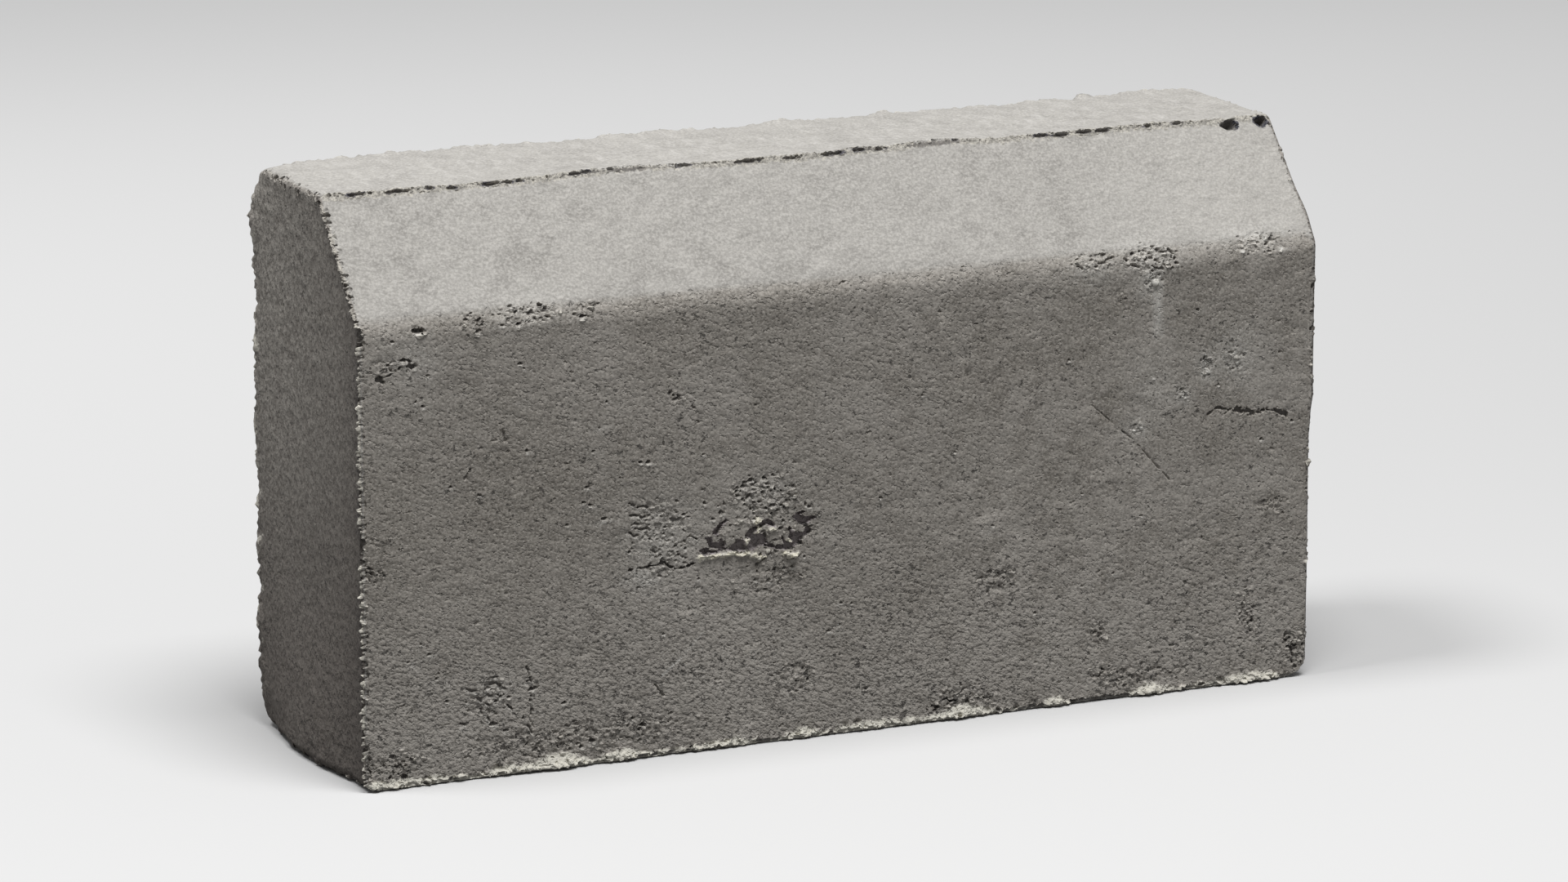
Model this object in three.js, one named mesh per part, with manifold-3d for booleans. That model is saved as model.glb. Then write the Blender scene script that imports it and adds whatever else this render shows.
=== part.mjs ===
// A concrete kerb stone with a splayed upper front edge, pressed in a mould as one solid block.
//
// X runs along the kerb, +Y points from the road to the footway behind it, and +Z is up.
// The origin is on the base, midway along and across the block. All sizes are in millimetres.

import * as THREE from "three";
import { mergeVertices } from "three/addons/utils/BufferGeometryUtils.js";
import Module from "manifold-3d";

const wasm = await Module();
wasm.setup();

// ---- Sizes of the block -------------------------------------------------------------------

const LENGTH = 457; // half of a full kerb, which is 914 long
const WIDTH = 125; // front face to back face
const HEIGHT = 250; // base to top face
const SPLAY_RUN = 44; // how far the splay reaches back from the front face
const SPLAY_DROP = 49; // how far it comes down from the top face

// Radii of the long arrises.
const BASE_BACK_ARRIS = 13;
const BACK_TOP_ARRIS = 9;
const TOP_SPLAY_ARRIS = 1.5;
const SPLAY_FRONT_ARRIS = 17;
const FRONT_BASE_ARRIS = 1.5;
const ARRIS_WEAR = 0.14; // share by which a long arris swells and shrinks along the block
const ARRIS_WAVELENGTH = 150;

// Radii with which the long faces roll over into the end faces. The base is worn most, at the right.
const LEFT_END_ARRIS = 3;
const LEFT_TOP_ARRIS = 5;
const RIGHT_END_ARRIS = 4;
const RIGHT_BASE_ARRIS = 13;

// The foot of the left end face sank outwards while the concrete was wet. The corner behind it is worn.
const FOOT_REACH = 5.2; // how far the end face stands out at its foot
const FOOT_RISE = 85; // how far up the end face that shows
const FOOT_WIDTH = 92; // how far it spreads across the end face
const FOOT_FROM_FRONT = 64; // front face to its middle
const FOOT_FADE = 40; // length over which it dies away along the block
const CORNER_WEAR = 5; // how much rounder the arris between base and back is at the left end
const CORNER_FADE = 60; // length over which that wear dies away

// ---- Flash: thin fins of grout that squeezed out where the plates of the mould met ---------

const BASE_FIN_REACH = 2.4; // how far the fin along the bottom edge stands out from the front face
const BASE_FIN_RISE = 5; // how far it climbs the front face
const BASE_FIN_LIFT = 0.5; // how far it stays clear of the ground
const TOP_FIN_REACH = 1.6; // how far the fin along the top edge hangs out over the splay
const FIN_RAGGEDNESS = 0.45; // share by which a fin's reach varies along it
const FIN_WAVELENGTH = 47;
const FIN_TAPER = 8; // length over which a fin dies away at each end
const FIN_ROOT = 1.2; // how deep a fin is rooted in the block
const THINNEST_FIN = 0.15;

// ---- Sizes of the blemishes ----------------------------------------------------------------

// A spalled hollow in the front face, with a ledge below it and a ragged slope above.
const HOLLOW_FROM_LEFT = 186; // left end face to its middle
const HOLLOW_ABOVE_BASE = 87; // base to its ledge
const HOLLOW_LENGTH = 62;
const HOLLOW_RISE = 17;
const HOLLOW_DEPTH = 6;
const HOLLOW_RAGGEDNESS = 0.2; // share by which its depth and rise vary along it
const HOLLOW_WANDER = 2; // how far its ledge strays up and down
const HOLLOW_WAVELENGTH = 28;

// A narrow gouge near the right end of the front face.
const GOUGE_FROM_RIGHT = 32; // right end face to its middle
const GOUGE_ABOVE_BASE = 126;
const GOUGE_LENGTH = 38;
const GOUGE_OPENING = 4.5; // height of its mouth
const GOUGE_DEPTH = 2.2;
const GOUGE_WANDER = 1.2; // how far it strays up and down
const GOUGE_WAVELENGTH = 33;

// Honeycombing: small voids that the grout left open along the arris below the splay.
const VOID_LENGTH = 4.2;
const VOID_HEIGHT = 3;
const VOID_DEPTH = 3.6;
const VOID_RAGGEDNESS = 0.3; // share by which a void's size varies
const VOID_SCATTER = 2; // how far a void strays up or down from the middle of the arris
const VOID_PITCH = 5.5;
const LEFT_VOIDS_START = 24; // left end face to the first void of the left run
const LEFT_VOIDS = 9;
const RIGHT_VOIDS_START = 66; // right end face to the nearest void of the right run
const RIGHT_VOIDS = 10;

// ---- Facets --------------------------------------------------------------------------------

const STATION_PITCH = 16; // spacing of the block's sections between its rolled ends
const END_STEPS = 8; // sections in each rolled end
const BASE_STEPS = 10; // parts of the base across the block
const END_RINGS = [0.42, 0.58, 0.7, 0.8, 0.88, 0.95]; // shares of its outline that divide the left end face
const FIN_PITCH = 5; // spacing of a fin's sections
const BLEMISH_PITCH = 3; // spacing of a hollow's sections
const DEGREES_PER_FACET = 11; // how finely an arris is turned

const front = -WIDTH / 2;
const back = WIDTH / 2;
const leftEnd = -LENGTH / 2;
const rightEnd = LENGTH / 2;
const lowerArris = HEIGHT - SPLAY_DROP;
const upperArris = front + SPLAY_RUN;

const concrete = new THREE.MeshStandardMaterial({ color: 0xa8a49d, roughness: 0.95, metalness: 0 });

// ---- Building blocks -----------------------------------------------------------------------

// A smooth irregular wave between -1 and 1. A phase of its own gives each feature its own shape.
function wave(x, wavelength, phase) {
  const turn = (2 * Math.PI * x) / wavelength;
  const slow = Math.sin(turn + phase);
  const middling = Math.sin(2.37 * turn + 2.1 * phase);
  const quick = Math.sin(5.11 * turn - phase);
  return 0.55 * slow + 0.3 * middling + 0.15 * quick;
}

// Even positions from one end to the other, no further apart than the pitch.
function stations(from, to, pitch) {
  const gaps = Math.max(1, Math.ceil((to - from) / pitch));
  return Array.from({ length: gaps + 1 }, (_, i) => from + ((to - from) * i) / gaps);
}

// The mean of a ring's points.
function middleOf({ x, points }) {
  const mean = (axis) => points.reduce((sum, point) => sum + point[axis], 0) / points.length;
  return [x, mean(0), mean(1)];
}

// Points evenly spaced between two others.
function between([fromY, fromZ], [toY, toZ], steps) {
  return Array.from({ length: steps - 1 }, (_, i) => {
    const share = (i + 1) / steps;
    return [fromY + (toY - fromY) * share, fromZ + (toZ - fromZ) * share];
  });
}

// A closed skin over rings of [y, z] points, each ring counterclockwise as seen from +X.
// Both ends are closed by a fan about the ring's middle.
function loft(rings) {
  const count = rings[0].points.length;
  const onRings = rings.flatMap(({ x, points }) => points.flatMap(([y, z]) => [x, y, z]));
  const lastRing = (rings.length - 1) * count;
  const leftMiddle = rings.length * count;
  const rightMiddle = leftMiddle + 1;
  const faces = [];
  for (let j = 0; j < count; j++) {
    const next = (j + 1) % count;
    for (let ring = 0; ring < lastRing; ring += count) {
      faces.push(ring + j, ring + next, ring + next + count);
      faces.push(ring + j, ring + next + count, ring + j + count);
    }
    faces.push(leftMiddle, next, j);
    faces.push(rightMiddle, lastRing + j, lastRing + next);
  }
  const geometry = new THREE.BufferGeometry();
  const positions = [...onRings, ...middleOf(rings[0]), ...middleOf(rings.at(-1))];
  geometry.setAttribute("position", new THREE.Float32BufferAttribute(positions, 3));
  geometry.setIndex(faces);
  return geometry;
}

// ---- The block -----------------------------------------------------------------------------

const splayLength = Math.hypot(SPLAY_RUN, SPLAY_DROP);
const splayNormal = [-SPLAY_DROP / splayLength, SPLAY_RUN / splayLength];

// A long face: its outward normal in the section, a point on it, the radii with which it rolls over
// into the left and right end faces, the radius of the arris that follows it, how much rounder that is
// at the left end, and how many parts the face is divided into across the block.
function longFace(normal, point, left, right, arris, wear = 0, steps = 1) {
  return { normal, point, left, right, arris, wear, steps };
}

// The five long faces, counterclockwise as seen from +X.
const LONG_FACES = [
  longFace([0, -1], [0, 0], LEFT_END_ARRIS, RIGHT_BASE_ARRIS, BASE_BACK_ARRIS, CORNER_WEAR, BASE_STEPS),
  longFace([1, 0], [back, 0], LEFT_END_ARRIS, RIGHT_END_ARRIS, BACK_TOP_ARRIS),
  longFace([0, 1], [0, HEIGHT], LEFT_TOP_ARRIS, RIGHT_END_ARRIS, TOP_SPLAY_ARRIS),
  longFace(splayNormal, [front, lowerArris], LEFT_END_ARRIS, RIGHT_END_ARRIS, SPLAY_FRONT_ARRIS),
  longFace([-1, 0], [front, 0], LEFT_END_ARRIS, RIGHT_END_ARRIS, FRONT_BASE_ARRIS),
];

// How far a face has pulled in, at a distance from the end face that it rolls over into.
function rolledIn(radius, fromEnd) {
  const rest = Math.max(radius - fromEnd, 0);
  return radius - Math.sqrt(radius * radius - rest * rest);
}

// Where two long faces meet, once each is pulled in from its place.
function corner(a, insetA, b, insetB) {
  const reachA = a.normal[0] * a.point[0] + a.normal[1] * a.point[1] - insetA;
  const reachB = b.normal[0] * b.point[0] + b.normal[1] * b.point[1] - insetB;
  const across = a.normal[0] * b.normal[1] - a.normal[1] * b.normal[0];
  return [
    (reachA * b.normal[1] - reachB * a.normal[1]) / across,
    (a.normal[0] * reachB - b.normal[0] * reachA) / across,
  ];
}

// The rounded arris between two long faces, as points from the first face to the second.
function roundedCorner(a, insetA, b, insetB, radius) {
  const [y, z] = corner(a, insetA, b, insetB);
  const from = Math.atan2(a.normal[1], a.normal[0]);
  const turn = (Math.atan2(b.normal[1], b.normal[0]) - from + 2 * Math.PI) % (2 * Math.PI);
  const middle = from + turn / 2;
  const toCentre = radius / Math.cos(turn / 2);
  const centreY = y - toCentre * Math.cos(middle);
  const centreZ = z - toCentre * Math.sin(middle);
  const steps = Math.max(2, Math.ceil(THREE.MathUtils.radToDeg(turn) / DEGREES_PER_FACET));
  return Array.from({ length: steps + 1 }, (_, i) => {
    const angle = from + (turn * i) / steps;
    return [centreY + radius * Math.cos(angle), centreZ + radius * Math.sin(angle)];
  });
}

// The section at a place along the block, with each face and arris as worn as it is there.
function sectionAt(x) {
  const insets = LONG_FACES.map(
    ({ left, right }) => rolledIn(left, x - leftEnd) + rolledIn(right, rightEnd - x),
  );
  const arrises = LONG_FACES.map((face, i) => {
    const next = (i + 1) % LONG_FACES.length;
    const atEnd = face.wear * Math.max(1 - (x - leftEnd) / CORNER_FADE, 0);
    const worn = face.arris * (1 + ARRIS_WEAR * wave(x, ARRIS_WAVELENGTH, i)) + atEnd;
    const smallest = face.arris / 3;
    const radius = Math.max(worn - Math.min(insets[i], insets[next]), smallest);
    return roundedCorner(face, insets[i], LONG_FACES[next], insets[next], radius);
  });
  return LONG_FACES.flatMap((face, i) => {
    const before = arrises.at(i - 1);
    return [...between(before.at(-1), arrises[i][0], face.steps), ...arrises[i]];
  });
}

// Sections crowd towards the end faces, where the long faces roll over.
function blockStations() {
  const leftRoll = Math.max(...LONG_FACES.map((face) => face.left));
  const rightRoll = Math.max(...LONG_FACES.map((face) => face.right));
  const roll = Array.from({ length: END_STEPS }, (_, i) => 1 - Math.cos((Math.PI / 2) * (i / END_STEPS)));
  return [
    ...roll.map((share) => leftEnd + leftRoll * share),
    ...stations(leftEnd + leftRoll, rightEnd - rightRoll, STATION_PITCH),
    ...roll.map((share) => rightEnd - rightRoll * share).reverse(),
  ];
}

// The left end's outline, drawn in towards its middle by a share.
function endRing(outline, share) {
  const [x, middleY, middleZ] = middleOf(outline);
  const points = outline.points.map(([y, z]) => [
    middleY + (y - middleY) * share,
    middleZ + (z - middleZ) * share,
  ]);
  return { x, points };
}

// How far the sunken foot of the left end pushes a place outwards.
function footAt(x, y, z) {
  const across = (y - front - FOOT_FROM_FRONT) / (FOOT_WIDTH / 2);
  const body = Math.max(1 - across * across, 0);
  const upwards = (1 + Math.cos(Math.PI * Math.min(z / FOOT_RISE, 1))) / 2;
  const inwards = Math.max(1 - (x - leftEnd) / FOOT_FADE, 0);
  return FOOT_REACH * body * upwards * inwards;
}

function block() {
  const sections = blockStations().map((x) => ({ x, points: sectionAt(x) }));
  const endRings = END_RINGS.map((share) => endRing(sections[0], share));
  const geometry = loft([...endRings, ...sections]);
  const positions = geometry.getAttribute("position");
  for (let i = 0; i < positions.count; i++) {
    const x = positions.getX(i);
    positions.setX(i, x - footAt(x, positions.getY(i), positions.getZ(i)));
  }
  return geometry;
}

// ---- Flash ---------------------------------------------------------------------------------

// A fin's reach at a place along it. It dies away at both ends.
function finReach(reach, x, from, to, phase) {
  const taper = Math.min(1, (x - from) / FIN_TAPER, (to - x) / FIN_TAPER);
  const ragged = 1 + FIN_RAGGEDNESS * wave(x, FIN_WAVELENGTH, phase);
  return Math.max(reach * ragged * taper, THINNEST_FIN);
}

// The fin along the bottom edge of the front face.
function baseFin() {
  const from = leftEnd + LEFT_END_ARRIS;
  const to = rightEnd - RIGHT_BASE_ARRIS;
  const root = front + FRONT_BASE_ARRIS + FIN_ROOT;
  const rings = stations(from, to, FIN_PITCH).map((x) => {
    const reach = finReach(BASE_FIN_REACH, x, from, to, 1);
    const tip = BASE_FIN_LIFT + reach / 2;
    const rise = tip + (BASE_FIN_RISE * reach) / BASE_FIN_REACH / 2;
    return {
      x,
      points: [
        [front - reach, BASE_FIN_LIFT],
        [root, BASE_FIN_LIFT],
        [root, rise],
        [front, rise],
        [front - reach, tip],
      ],
    };
  });
  return loft(rings);
}

// The fin along the upper edge of the splay, flush with the top face.
function topFin() {
  const from = leftEnd + LEFT_TOP_ARRIS;
  const to = rightEnd - RIGHT_END_ARRIS;
  const root = upperArris + TOP_SPLAY_ARRIS + FIN_ROOT;
  const rings = stations(from, to, FIN_PITCH).map((x) => {
    const reach = finReach(TOP_FIN_REACH, x, from, to, 2.6);
    return {
      x,
      points: [
        [upperArris - reach, HEIGHT - reach / 2],
        [root, HEIGHT - FIN_ROOT],
        [root, HEIGHT],
        [upperArris - reach / 2, HEIGHT],
      ],
    };
  });
  return loft(rings);
}

// ---- Blemishes -----------------------------------------------------------------------------

// The space that the spall leaves. It is deepest just above its ledge and climbs to the right.
function hollow() {
  const middle = leftEnd + HOLLOW_FROM_LEFT;
  const half = HOLLOW_LENGTH / 2;
  const rings = stations(middle - half, middle + half, BLEMISH_PITCH).map((x) => {
    const across = (x - middle) / half;
    const body = Math.max(1 - across * across, 0.04);
    const ragged = (phase) => 1 + HOLLOW_RAGGEDNESS * wave(x, HOLLOW_WAVELENGTH, phase);
    const depth = HOLLOW_DEPTH * Math.sqrt(body) * ragged(2);
    const rise = HOLLOW_RISE * body * (1 + across / 4) * ragged(3);
    const ledge = HOLLOW_ABOVE_BASE + HOLLOW_WANDER * wave(x, HOLLOW_WAVELENGTH, 1);
    const outside = front - HOLLOW_DEPTH;
    return {
      x,
      points: [
        [outside, ledge],
        [front + depth, ledge],
        [front + depth * 0.9, ledge + rise * 0.45],
        [front + depth * 0.3, ledge + rise * 0.85],
        [outside, ledge + rise + HOLLOW_DEPTH],
      ],
    };
  });
  return loft(rings);
}

// The space of the gouge: a wandering slot with a V section, shallow at its ends.
function gouge() {
  const middle = rightEnd - GOUGE_FROM_RIGHT;
  const half = GOUGE_LENGTH / 2;
  const rings = stations(middle - half, middle + half, BLEMISH_PITCH).map((x) => {
    const across = (x - middle) / half;
    const body = Math.max(1 - across * across, 0.05);
    const z = GOUGE_ABOVE_BASE + GOUGE_WANDER * (wave(x, GOUGE_WAVELENGTH, 5) - across);
    return {
      x,
      points: [
        [front - GOUGE_DEPTH, z - GOUGE_OPENING * body],
        [front + GOUGE_DEPTH * body, z],
        [front - GOUGE_DEPTH, z + GOUGE_OPENING * body],
      ],
    };
  });
  return loft(rings);
}

// One void of the honeycombing: a lump of missing grout whose middle lies on the rounded arris.
function voidAt(x, index) {
  const halfTurn = Math.atan2(SPLAY_RUN, SPLAY_DROP) / 2;
  const toArris = SPLAY_FRONT_ARRIS * (1 / Math.cos(halfTurn) - 1);
  const size = 1 + VOID_RAGGEDNESS * wave(index, 3.3, 1);
  const sphere = new THREE.IcosahedronGeometry(0.5, 1);
  sphere.deleteAttribute("normal");
  sphere.deleteAttribute("uv");
  const lump = mergeVertices(sphere);
  lump.scale(VOID_LENGTH * size, VOID_DEPTH * size, VOID_HEIGHT * size);
  lump.rotateX(-halfTurn);
  return lump.translate(
    x,
    front + toArris * Math.cos(halfTurn),
    lowerArris - toArris * Math.sin(halfTurn) + VOID_SCATTER * wave(index, 2.6, 3),
  );
}

function voids() {
  const left = Array.from({ length: LEFT_VOIDS }, (_, i) => leftEnd + LEFT_VOIDS_START + i * VOID_PITCH);
  const right = Array.from({ length: RIGHT_VOIDS }, (_, i) => rightEnd - RIGHT_VOIDS_START - i * VOID_PITCH);
  return [...left, ...right].map(voidAt);
}

// ---- Joining and cutting -------------------------------------------------------------------

function solid(geometry) {
  return new wasm.Manifold(
    new wasm.Mesh({
      numProp: 3,
      vertProperties: geometry.getAttribute("position").array,
      triVerts: new Uint32Array(geometry.index.array),
    }),
  );
}

function geometryOf(manifold) {
  const { vertProperties, triVerts } = manifold.getMesh();
  const geometry = new THREE.BufferGeometry();
  geometry.setAttribute("position", new THREE.BufferAttribute(vertProperties, 3));
  geometry.setIndex(new THREE.BufferAttribute(triVerts, 1));
  geometry.computeVertexNormals();
  return geometry;
}

const fins = [baseFin(), topFin()];
const losses = [hollow(), gouge(), ...voids()];
const cast = fins.reduce((whole, fin) => whole.add(solid(fin)), solid(block()));
const worn = losses.reduce((whole, loss) => whole.subtract(solid(loss)), cast);

const kerbStone = new THREE.Mesh(geometryOf(worn), concrete);
kerbStone.name = "kerb_stone";

const kerb = new THREE.Group();
kerb.add(kerbStone);

export default kerb;
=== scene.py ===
# %% [markdown]
# # A concrete kerb stone
#
# A kerb stone edges a road. It is made from earth-dry concrete, rammed into a steel mould and turned
# out at once, so its faces are flat but sandy, its edges crumble, and a little grout squeezes out
# between the plates of the mould and stays as ragged flash. It is one solid block with no other piece.
#
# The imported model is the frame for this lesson: it holds the block's true size, and what is made here
# is fitted to it. Blender works in metres; the shaping below is written in millimetres, which is
# what a mould maker would use, and turned into metres where it meets Blender.

# %% Load the frame
import math
import random

import bpy
import numpy as np
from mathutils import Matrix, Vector, noise
from mathutils.bvhtree import BVHTree
from mathutils.kdtree import KDTree


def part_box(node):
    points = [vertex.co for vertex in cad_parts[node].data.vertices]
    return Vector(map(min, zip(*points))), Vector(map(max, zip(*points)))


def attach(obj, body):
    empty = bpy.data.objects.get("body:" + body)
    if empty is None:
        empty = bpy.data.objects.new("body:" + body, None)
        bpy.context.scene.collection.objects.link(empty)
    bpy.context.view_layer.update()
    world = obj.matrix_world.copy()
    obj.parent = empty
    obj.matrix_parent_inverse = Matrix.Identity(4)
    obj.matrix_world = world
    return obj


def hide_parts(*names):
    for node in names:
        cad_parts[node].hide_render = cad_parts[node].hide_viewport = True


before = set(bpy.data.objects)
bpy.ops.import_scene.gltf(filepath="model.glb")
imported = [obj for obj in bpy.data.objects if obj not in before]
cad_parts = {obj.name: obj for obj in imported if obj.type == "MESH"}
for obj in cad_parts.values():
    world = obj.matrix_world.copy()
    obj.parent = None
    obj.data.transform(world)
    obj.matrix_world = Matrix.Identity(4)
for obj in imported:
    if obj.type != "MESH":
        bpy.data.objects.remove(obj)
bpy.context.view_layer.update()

lowest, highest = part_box("kerb_stone")
print("frame box", [round(v, 4) for v in (*lowest, *highest)])

# %% Name the block's sizes
MM = 0.001
RIGHT = highest[0] / MM
BACK = highest[1] / MM
LEFT = -RIGHT  # the block is centred on its base: only its sunken foot stands proud of this face
FRONT = -BACK  # and only its flash stands proud of this one
TOP = highest[2] / MM
LENGTH = RIGHT - LEFT
WIDTH = BACK - FRONT

SPLAY_RUN = 44
SPLAY_DROP = 49
LOWER_ARRIS = TOP - SPLAY_DROP
UPPER_ARRIS = FRONT + SPLAY_RUN
SPLAY_LEAN = math.atan2(SPLAY_RUN, SPLAY_DROP)  # the angle by which the splay leans back
print(f"block {LENGTH:.0f} x {WIDTH:.0f} x {TOP:.0f} mm, splay {SPLAY_RUN} x {SPLAY_DROP} mm")

# %% [markdown]
# ## The plain block
#
# The mould gives the block five long faces and two ends. Its section could be drawn and extruded, but
# a cube of the block's size, cut once for the splay with the bisect tool, gives the same shape in two
# steps and starts with all its faces closed.

# %% Helpers for working on one object
def only(piece):
    bpy.ops.object.select_all(action="DESELECT")
    piece.select_set(True)
    bpy.context.view_layer.objects.active = piece


def apply_modifier(piece, kind, **settings):
    only(piece)
    modifier = piece.modifiers.new(kind.title(), kind)
    for name, value in settings.items():
        setattr(modifier, name, value)
    bpy.ops.object.modifier_apply(modifier=modifier.name)


# %% Cut the block out of a cube
def plain_block():
    bpy.ops.object.select_all(action="DESELECT")
    bpy.ops.mesh.primitive_cube_add(size=1, location=(0, 0, TOP * MM / 2))
    block = bpy.context.object
    block.scale = (LENGTH * MM, WIDTH * MM, TOP * MM)
    bpy.ops.object.transform_apply(location=True, rotation=True, scale=True)
    bpy.ops.object.mode_set(mode="EDIT")
    bpy.ops.mesh.select_all(action="SELECT")
    bpy.ops.mesh.bisect(
        plane_co=(0, FRONT * MM, LOWER_ARRIS * MM),
        plane_no=(0, -math.cos(SPLAY_LEAN), math.sin(SPLAY_LEAN)),
        use_fill=True,
        clear_outer=True,
    )
    bpy.ops.object.mode_set(mode="OBJECT")
    return block


kerb = plain_block()
print(len(kerb.data.polygons), "faces after the splay is cut")

# %% [markdown]
# ## Rounded edges
#
# The edges differ a lot: the one below the splay is wide and soft, because the mould's plate was bent
# there, and those where two plates met are as sharp as the joint between them. Each edge could be
# bevelled by itself, but the corners would then have to be patched. Here each edge gets its own bevel
# weight, and one Bevel modifier rounds them all and joins them neatly at the corners.

# %% Name the radius of each edge
def edge_radii():
    """The middle of each edge of the cut block, with its radius and the angle its two faces turn by."""
    square = math.pi / 2
    top_middle = (UPPER_ARRIS + BACK) / 2
    splay_middle = ((FRONT + UPPER_ARRIS) / 2, (LOWER_ARRIS + TOP) / 2)
    return {
        (0, BACK, 0): (13, square),
        (0, BACK, TOP): (9, square),
        (0, UPPER_ARRIS, TOP): (1.2, square - SPLAY_LEAN),
        (0, FRONT, LOWER_ARRIS): (17, SPLAY_LEAN),
        (0, FRONT, 0): (1, square),
        (LEFT, 0, 0): (5, square),
        (LEFT, BACK, TOP / 2): (6, square),
        (LEFT, top_middle, TOP): (2.5, square),
        (LEFT, *splay_middle): (1.6, square),
        (LEFT, FRONT, LOWER_ARRIS / 2): (1.2, square),
        (RIGHT, 0, 0): (11, square),
        (RIGHT, BACK, TOP / 2): (7, square),
        (RIGHT, top_middle, TOP): (4, square),
        (RIGHT, *splay_middle): (4, square),
        (RIGHT, FRONT, LOWER_ARRIS / 2): (3, square),
    }


# %% Round the edges
BEVEL_STEPS = 8


def round_edges(block):
    rounding = {middle: radius * math.tan(turn / 2) for middle, (radius, turn) in edge_radii().items()}
    widest = max(rounding.values())
    weights = block.data.attributes.new("bevel_weight_edge", "FLOAT", "EDGE")
    for edge in block.data.edges:
        middle = sum((block.data.vertices[i].co for i in edge.vertices), Vector()) / 2 / MM
        closest = min(rounding, key=lambda place: (Vector(place) - middle).length)
        weights.data[edge.index].value = rounding[closest] / widest
    apply_modifier(
        block,
        "BEVEL",
        width=widest * MM,
        segments=BEVEL_STEPS,
        limit_method="WEIGHT",
        use_clamp_overlap=False,
    )


round_edges(kerb)
print(len(kerb.data.polygons), "faces after the edges are rounded")

# %% [markdown]
# ## A clean surface to measure from
#
# Wear is always measured against the block as it left the mould. The distance to it could be asked of
# the mesh itself, but that is slow and the mesh is about to change. A search tree of its faces is fast,
# and it stays as it is while the skin is broken up.

# %% Keep the clean surface to measure wear against
def surface_of(piece):
    vertices = [tuple(v.co / MM) for v in piece.data.vertices]
    return BVHTree.FromPolygons(vertices, [tuple(p.vertices) for p in piece.data.polygons])


clean_surface = surface_of(kerb)
print("clean surface kept, with", len(kerb.data.polygons), "faces")

# %% [markdown]
# ## A fine skin
#
# Wear is modelled like sculpting: the surface becomes a grid of small faces, and then its points are
# moved. An even grid fine enough for a grain of sand would need millions of faces, so the grid starts
# coarse and is divided again and again, but only where something small is to be shaped. That place is
# found with a few measures: how near a point is to an edge, and how deep it lies under the skin.

# %% Measure how near a place is to an edge
FRONT_FACE = ((0, -1, 0), (0, FRONT, 0))
SPLAY_FACE = ((0, -math.cos(SPLAY_LEAN), math.sin(SPLAY_LEAN)), (0, FRONT, LOWER_ARRIS))
FACES = [  # the outward direction of each face, and a point on it
    ((-1, 0, 0), (LEFT, 0, 0)),
    ((1, 0, 0), (RIGHT, 0, 0)),
    FRONT_FACE,
    ((0, 1, 0), (0, BACK, 0)),
    ((0, 0, -1), (0, 0, 0)),
    ((0, 0, 1), (0, 0, TOP)),
    SPLAY_FACE,
]


def distance_to_edge(points):
    """The distance to the second nearest face, which is small only near an edge."""
    away = [np.abs((points - np.array(place)) @ np.array(outward)) for outward, place in FACES]
    return np.sort(np.array(away), axis=0)[1]


def under_the_skin(points):
    """How far each point lies behind the front or the splay, whichever is nearer."""
    behind = [(np.array(place) - points) @ np.array(outward) for outward, place in (FRONT_FACE, SPLAY_FACE)]
    return np.minimum(*behind)


print(len(FACES), "faces to measure from")

# %% Ramps, lumps and facets
def ramp(values, start, end):
    """0 below the start and 1 past the end, with a smooth rise between them."""
    share = np.clip((values - start) / (end - start), 0, 1)
    return share * share * (3 - 2 * share)


def lumps(points, size, shift=0.0):
    """Smooth noise from about -1 to 1, with lumps of that size, or of three sizes along X, Y and Z."""
    return np.array([noise.noise(p) for p in (points / size + shift).tolist()])


FACET_HEIGHTS = 3.3  # two places in the noise, so that a facet's height tells nothing about its tilt
FACET_TILTS = 5.7
FACET_SEED = 1
noise.seed_set(FACET_SEED)  # without a seed of its own, noise_vector would follow the clock


def facets(points, size, shift=0.0):
    """Broken stone: flat facets at random heights from about -1 to 1, each a little tilted."""
    values = []
    for place in (points / size + shift).tolist():
        middle = noise.voronoi(place)[1][0]
        tilt = noise.noise_vector(middle * FACET_TILTS)
        values.append(1.5 * noise.noise(middle * FACET_HEIGHTS) + tilt.dot(Vector(place) - middle))
    return np.array(values)


# %% [markdown]
# ## Crumbs and holes
#
# The small wear is of two kinds. A crumb is an angular grain that pushes the skin out from inside.
# A hole is the print of such a grain, pressed straight in. There are a few thousand of them, so they
# are first written down in two lists, and pressed through the skin later, when it is fine enough.

# %% Write down crumbs and holes
crumbs = []
holes = []


def crumb(place, outward, radius, height, stretch=1.0):
    """A grain that stands out of the surface by its height, and may be stretched along X."""
    crumbs.append((place - outward * (radius - height), radius, stretch))


def hole(place, outward, radius, deep, stretch=1.0):
    """A steep hole of that radius and depth, which may be stretched along X."""
    holes.append((place, outward, radius, deep, stretch))


def report(what):
    print(len(crumbs), "crumbs and", len(holes), "holes with", what)


# %% Find a place on the front
FORWARD = Vector((0, -1, 0))
STAND_OFF = 20  # how far before the block a ray starts


def place_on_front(from_left, above):
    """The place on the front, the lower arris or the splay at that height, and its outward direction."""
    start = Vector((LEFT + from_left, FRONT - STAND_OFF, above))
    place, outward, _, _ = clean_surface.ray_cast(start, -FORWARD)
    return place, outward


def upturned(outward, upwards):
    """The outward direction, turned up a little so that what stands out catches the light."""
    return (outward + Vector((0, 0, upwards))).normalized()


print("the middle of the splay is at", tuple(round(v, 1) for v in place_on_front(LENGTH / 2, TOP - 25)[0]))

# %% [markdown]
# ## Crumbling edges
#
# Earth-dry concrete is weakest at its edges: grains fall out as the mould is lifted off, and those that
# stay stand out in a broken row. A displace texture would make such a row look melted, so each edge
# gets single grains with nicks between them. How large they are, how far they stand out and how many
# nicks there are differ from edge to edge and stand in a list. Dice with fixed seeds scatter them, so
# that the block comes out the same each time.

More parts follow.
